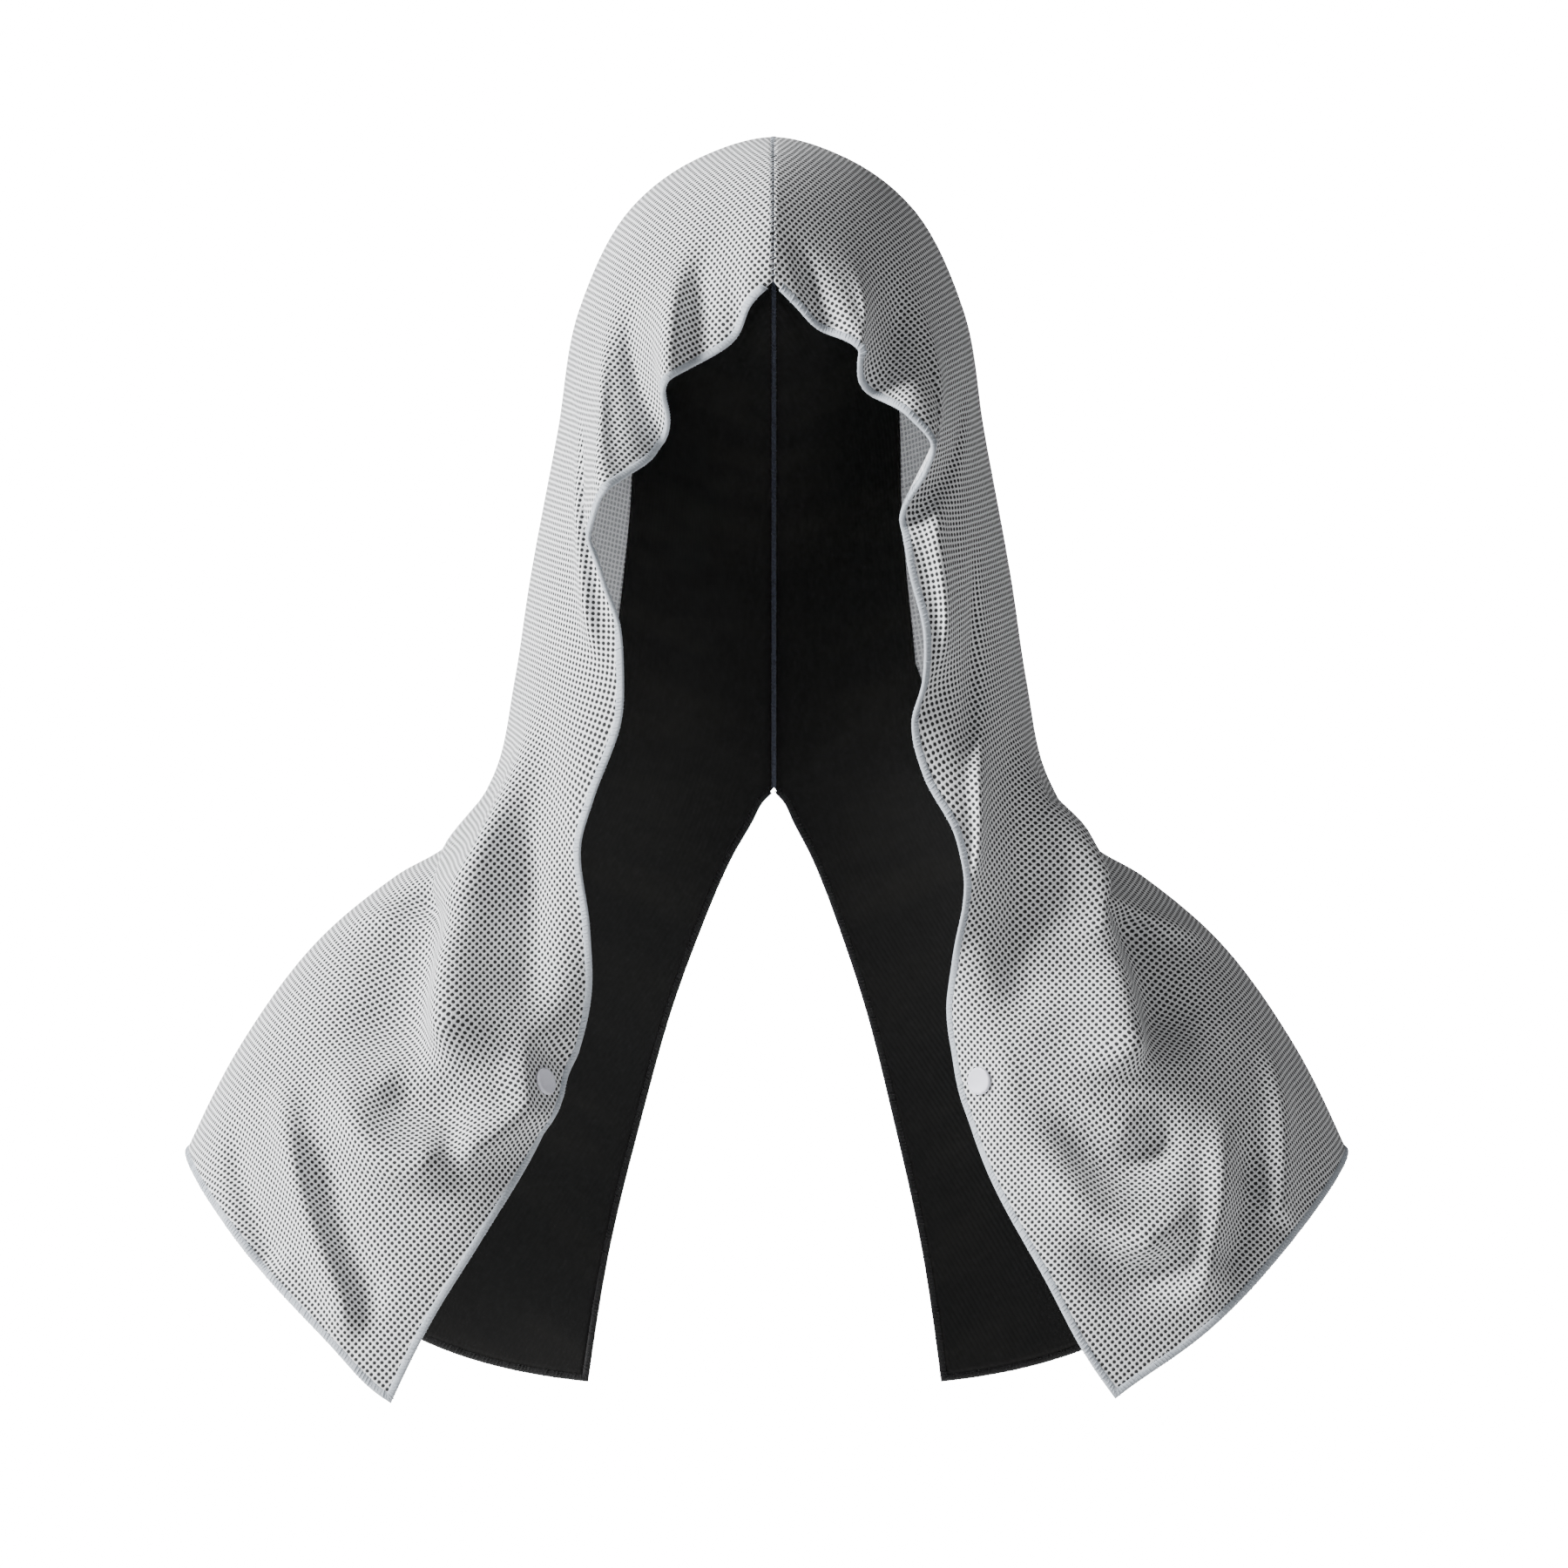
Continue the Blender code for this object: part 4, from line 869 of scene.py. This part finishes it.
def joined(name, *pieces):
    # one piece out of several, their materials kept
    mesh = bpy.data.meshes.new(name)
    bm = bmesh.new()
    slots = []
    for piece in pieces:
        first = len(bm.faces)
        bm.from_mesh(piece.data)
        bm.faces.ensure_lookup_table()
        for face in bm.faces[first:]:
            own = piece.data.materials[face.material_index]
            if own not in slots:
                slots.append(own)
            face.material_index = slots.index(own)
    bm.to_mesh(mesh)
    bm.free()
    for own in slots:
        mesh.materials.append(own)
    for piece in pieces:
        bpy.data.objects.remove(piece)
    made = bpy.data.objects.new(name, mesh)
    bpy.context.collection.objects.link(made)
    return made


overlock = {
    "width": 0.0036,
    "beyond": 0.0010,  # past the cloth's own edge
    "height": {True: 0.0011, False: 0.0018},  # half its thickness: the back one (False) holds the lining too
    "sunk": {True: 0.0, False: 0.00065},  # how far inward of the cloth's middle it lies
    "pitch": 0.0017,
    "thread": 0.00022,
    "lean": 0.32,  # radians
    "splitAcross": 0.44,  # where the light edge gives way to the dark one
    "headLevel": 0.443,
}


def bandSection(height, points=14):
    # a flattened round, thinner on the side where it lies on the cloth
    middle = overlock["beyond"] - overlock["width"] / 2
    section = []
    for k in range(points):
        angle = 2 * math.pi * k / points
        across = math.copysign(abs(math.cos(angle)) ** 0.75, math.cos(angle))
        up = math.copysign(abs(math.sin(angle)) ** 0.75, math.sin(angle)) * (1 - 0.12 * (1 - across) / 2)
        section.append((middle + across * overlock["width"] / 2, up * height))
    return section


def hemPieces(word, side, front):
    half = panels[side]
    outer, places = half["outer"], half["places"]
    normal = gridNormals(side, outer)
    middle = outer - normal * (panel["wall"] / 2 + overlock["sunk"][front])
    height = overlock["height"][front]
    last = int(np.searchsorted(places[-1], overlock["splitAcross"]))
    if front:
        down = slice(2, None)
        edge = np.concatenate([middle[down, 0], middle[-1, 1:last]])
        out = np.concatenate([normal[down, 0], normal[-1, 1:last]])
        inward = np.concatenate([(middle[:, 4] - middle[:, 0])[down], (middle[-3] - middle[-1])[1:last]])
        corner = len(middle[down]) - 1
    else:
        head = int(np.searchsorted(half["levels"], overlock["headLevel"]))
        edge = np.concatenate([middle[head:, -1], middle[-1, -2:last:-1]])
        out = np.concatenate([normal[head:, -1], normal[-1, -2:last:-1]])
        inward = np.concatenate([
            (middle[:, -3] - middle[:, -1])[head:], (middle[-3] - middle[-1])[-2:last:-1],
        ])
        corner = len(middle[head:]) - 1
    inward = inward.copy()
    inward[corner] = inward[corner - 1] + inward[corner + 1]
    run = edgeRun(edge, out, inward, corner)
    name = ("frontHem" if front else "backHem") + word
    thread = lightThread if front else blackThread
    band = bandAlong(name + "Band", run, bandSection(height), thread)
    loops = threadLoops(
        name + "Loops", run, thread,
        Pitch=overlock["pitch"], Reach=overlock["width"] / 2 + 0.0001, Rise=height + 0.00005,
        Thread=overlock["thread"], Lean=overlock["lean"], Offset=overlock["beyond"] - overlock["width"] / 2,
    )
    return joined(name, band, loops)


hems = {}
for side, word in ((-1, "Left"), (1, "Right")):
    hems[side] = [hemPieces(word, side, True), hemPieces(word, side, False)]
    print("hems", word, [len(piece.data.polygons) for piece in hems[side]], "faces")


seam = {
    "ridge": 0.0011,  # radius
    "sink": 0.0010,  # from the inner face of the cloth or lining to the ridge's middle
    "pitch": 0.0017,
    "thread": 0.00024,
    "lean": 0.5,
    "linedFrom": 0.10,  # along the seam from the peak, where the lining starts to back it
    "linedOver": 0.03,
    "outsidePitch": 0.0026,
    "outsideReach": 0.0016,
    "outsideRise": 0.0006,
    "outsideThread": 0.0002,
    "outsideLean": 0.35,
    "outsideSink": 0.0005,
}


def seamRun():
    # the centre seam from the peak over the crown and down the back to the split
    crown = panels[-1]["outer"][0]
    levels = panels[-1]["levels"]
    back = panels[-1]["outer"][(levels > 0) & (levels < towel["splitLevel"] + 0.002), -1]
    line = np.concatenate([crown, back])
    line[:, 0] = 0
    line = line[np.concatenate([[True], np.linalg.norm(np.diff(line, axis=0), axis=1) > 0.0004])]
    along = unit(np.gradient(line, axis=0))
    out = np.stack([np.zeros(len(line)), along[:, 2], -along[:, 1]], -1)
    out *= np.where((out * (line - np.array([0, 0, -0.2]))).sum(-1, keepdims=True) < 0, -1.0, 1.0)
    beyond = np.tile([1.0, 0, 0], (len(line), 1))
    run = np.concatenate([[0], np.cumsum(np.linalg.norm(np.diff(line, axis=0), axis=1))])
    return {"edge": line, "out": out, "beyond": beyond, "stretch": np.ones(len(line)), "run": run}


def sunkRun(run, depth, keep):
    # the same path this deep under the cloth
    return {
        "edge": (run["edge"] - run["out"] * np.reshape(depth, (-1, 1)))[keep],
        "out": run["out"][keep],
        "beyond": run["beyond"][keep],
        "stretch": run["stretch"][keep],
    }


def seamPieces():
    run = seamRun()
    lined = ease((run["run"] - seam["linedFrom"]) / seam["linedOver"])
    depth = panel["wall"] + seam["sink"] + lined * (lining["gap"] + lining["wall"])
    inside = sunkRun(run, depth, slice(3, None))
    angles = np.linspace(0, 2 * math.pi, 11)[:-1]
    rounded = [(seam["ridge"] * math.cos(a), seam["ridge"] * math.sin(a)) for a in angles]
    ridge = bandAlong("seamRidge", inside, rounded, seamThread)
    clear = seam["ridge"] + 0.0001
    loops = threadLoops(
        "seamLoops", inside, seamThread, Pitch=seam["pitch"], Reach=clear, Rise=clear,
        Thread=seam["thread"], Lean=seam["lean"], Offset=0.0,
    )
    outside = threadLoops(
        "seamOutside", sunkRun(run, seam["outsideSink"], slice(2, -2)), lightThread,
        Pitch=seam["outsidePitch"], Reach=seam["outsideReach"], Rise=seam["outsideRise"],
        Thread=seam["outsideThread"], Lean=seam["outsideLean"], Offset=0.0,
    )
    return joined("centreSeam", ridge, loops, outside)


centreSeam = seamPieces()
print("centre seam", len(centreSeam.data.polygons), "faces")


# snaps

snapParts = {
    "cap": 0.0062,
    "capHeight": 0.0014,
    "post": 0.0021,
    "socket": 0.0048,
    "socketHeight": 0.0022,
    "stand": 0.0004,
    "steps": 56,
}


def turnedSnap(name, side):
    place, out = snapSeat(side)
    p = snapParts
    top = p["stand"] + p["capHeight"]
    under = panel["wall"] + p["stand"]
    profile = [
        (0.0, top - 0.0003), (p["cap"] * 0.45, top - 0.00027), (p["cap"] * 0.74, top - 0.0001), (p["cap"] * 0.82, top),
        (p["cap"] * 0.90, top), (p["cap"] * 0.965, top - 0.00022), (p["cap"], top - 0.0006),
        (p["cap"] - 0.0001, p["stand"]),
        (p["post"], p["stand"]), (p["post"], -under), (p["socket"] - 0.0002, -under), (p["socket"], -under - 0.0003),
        (p["socket"], -under - p["socketHeight"] * 0.6), (p["socket"] * 0.86, -under - p["socketHeight"]),
        (p["socket"] * 0.55, -under - p["socketHeight"]), (p["socket"] * 0.50, -under - p["socketHeight"] + 0.0012),
        (0.0, -under - p["socketHeight"] + 0.0012),
    ]
    bm = bmesh.new()
    rings = []
    for r, z in profile:
        if r == 0:
            rings.append([bm.verts.new((0, 0, z))])
        else:
            angles = [2 * math.pi * k / p["steps"] for k in range(p["steps"])]
            rings.append([bm.verts.new((r * math.cos(a), r * math.sin(a), z)) for a in angles])
    for a, b in zip(rings, rings[1:]):
        for k in range(p["steps"]):
            n = (k + 1) % p["steps"]
            corners = [a[k % len(a)], b[k % len(b)], b[n % len(b)], a[n % len(a)]]
            bm.faces.new(list(dict.fromkeys(corners)))
    turn = Vector(out).to_track_quat("Z", "Y").to_matrix().to_4x4()
    turn.translation = Vector(place)
    bm.transform(turn)
    bmesh.ops.recalc_face_normals(bm, faces=bm.faces)
    for face in bm.faces:
        face.smooth = True
    mesh = bpy.data.meshes.new(name)
    bm.to_mesh(mesh)
    bm.free()
    mesh.set_sharp_from_angle(angle=0.7)
    mesh.materials.append(snapPlastic)
    made = bpy.data.objects.new(name, mesh)
    bpy.context.collection.objects.link(made)
    return made


snaps = {side: turnedSnap("snap" + word, side) for side, word in ((-1, "Left"), (1, "Right"))}
print("snaps turned")


# onto the frame

for side, word in ((-1, "left"), (1, "right")):
    cloth, piece, (front, back) = panels[side]["cloth"], liningPieces[side], hems[side]
    for made, node, slotName in (
        (cloth, "shell_", "mesh_cloth"), (piece, "lining_", "black_lining"), (front, "front_hem_", "light_thread"),
        (back, "back_hem_", "black_thread"), (snaps[side], "snap_", "snap_plastic"),
    ):
        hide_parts(node + word)
        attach(made, "root")
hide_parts("centre_seam")
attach(centreSeam, "root")


for side in (-1, 1):
    cloth, piece = panels[side]["cloth"], liningPieces[side]


# floor, light and camera

def plainSurface(name, colour, roughness):
    # matt studio paper
    made, tree, shader = newMaterial(name)
    place = addNode(tree, "ShaderNodeTexCoord")
    tooth = addNode(tree, "ShaderNodeTexNoise", {"Vector": place.outputs["Object"], "Scale": 60, "Detail": 3.0})
    tone = addNode(tree, "ShaderNodeMix", {
        0: tooth.outputs[0], 6: linear(colour), 7: linear("#FFFFFF"),
    }, data_type="RGBA")
    tree.links.new(tone.outputs[2], shader.inputs["Base Color"])
    setShader(shader, Roughness=roughness)
    return made


studio = {
    "floorDrop": -1.0,
    "floorRadius": 1.6,
    "camera": (0.0048, -3.0, -0.2948),
    "frameWidth": 0.72,
    "sensorWidth": 36,
    "aim": (0, 0, -0.3),
    "keyPlace": (-2.2, -0.85, 0.75),
    "keySize": (1.0, 1.4),
    "keyPower": 235.0,  # watts
    "fillPlace": (1.6, -2.2, 0.1),
    "fillSize": (1.6, 1.6),
    "fillPower": 7.0,
    "ambient": 0.23,  # what the cloth gets from all round
    "backdrop": 18.0,  # what shows behind it: bright enough to come out white
}

bm = bmesh.new()
bmesh.ops.create_circle(bm, cap_ends=True, segments=96, radius=studio["floorRadius"])
floorMesh = bpy.data.meshes.new("studioFloor")
bm.to_mesh(floorMesh)
bm.free()
for vertex in floorMesh.vertices:
    vertex.co.z = studio["floorDrop"]
floorMesh.materials.append(plainSurface("studioPaper", "#F4F4F4", 0.9))
floor = bpy.data.objects.new("studioFloor", floorMesh)
bpy.context.collection.objects.link(floor)


def softBox(name, place, size, power):
    lamp = bpy.data.lights.new(name, "AREA")
    lamp.shape = "RECTANGLE"
    lamp.size, lamp.size_y = size
    lamp.energy = power
    made = bpy.data.objects.new(name, lamp)
    made.location = place
    made.rotation_euler = (Vector(studio["aim"]) - Vector(place)).to_track_quat("-Z", "Y").to_euler()
    bpy.context.collection.objects.link(made)


softBox("keyLight", studio["keyPlace"], studio["keySize"], studio["keyPower"])
softBox("fillLight", studio["fillPlace"], studio["fillSize"], studio["fillPower"])

world = bpy.data.worlds.new("studioWorld")
bpy.context.scene.world = world
world.use_nodes = True
tree = world.node_tree
tree.nodes.clear()
white = (1, 1, 1, 1)
ambient = addNode(tree, "ShaderNodeBackground", {"Color": white, "Strength": studio["ambient"]})
backdrop = addNode(tree, "ShaderNodeBackground", {"Color": white, "Strength": studio["backdrop"]})
rays = addNode(tree, "ShaderNodeLightPath")
blended = addNode(tree, "ShaderNodeMixShader", {
    0: rays.outputs["Is Camera Ray"], 1: ambient.outputs[0], 2: backdrop.outputs[0],
})
addNode(tree, "ShaderNodeOutputWorld", {"Surface": blended.outputs[0]})

camera = bpy.data.cameras.new("camera")
camera.sensor_width = studio["sensorWidth"]
camera.lens = studio["sensorWidth"] * -studio["camera"][1] / studio["frameWidth"]
camera.clip_end = 20
cameraObject = bpy.data.objects.new("camera", camera)
cameraObject.location = studio["camera"]
cameraObject.rotation_euler = (math.pi / 2, 0, 0)
bpy.context.collection.objects.link(cameraObject)
bpy.context.scene.camera = cameraObject
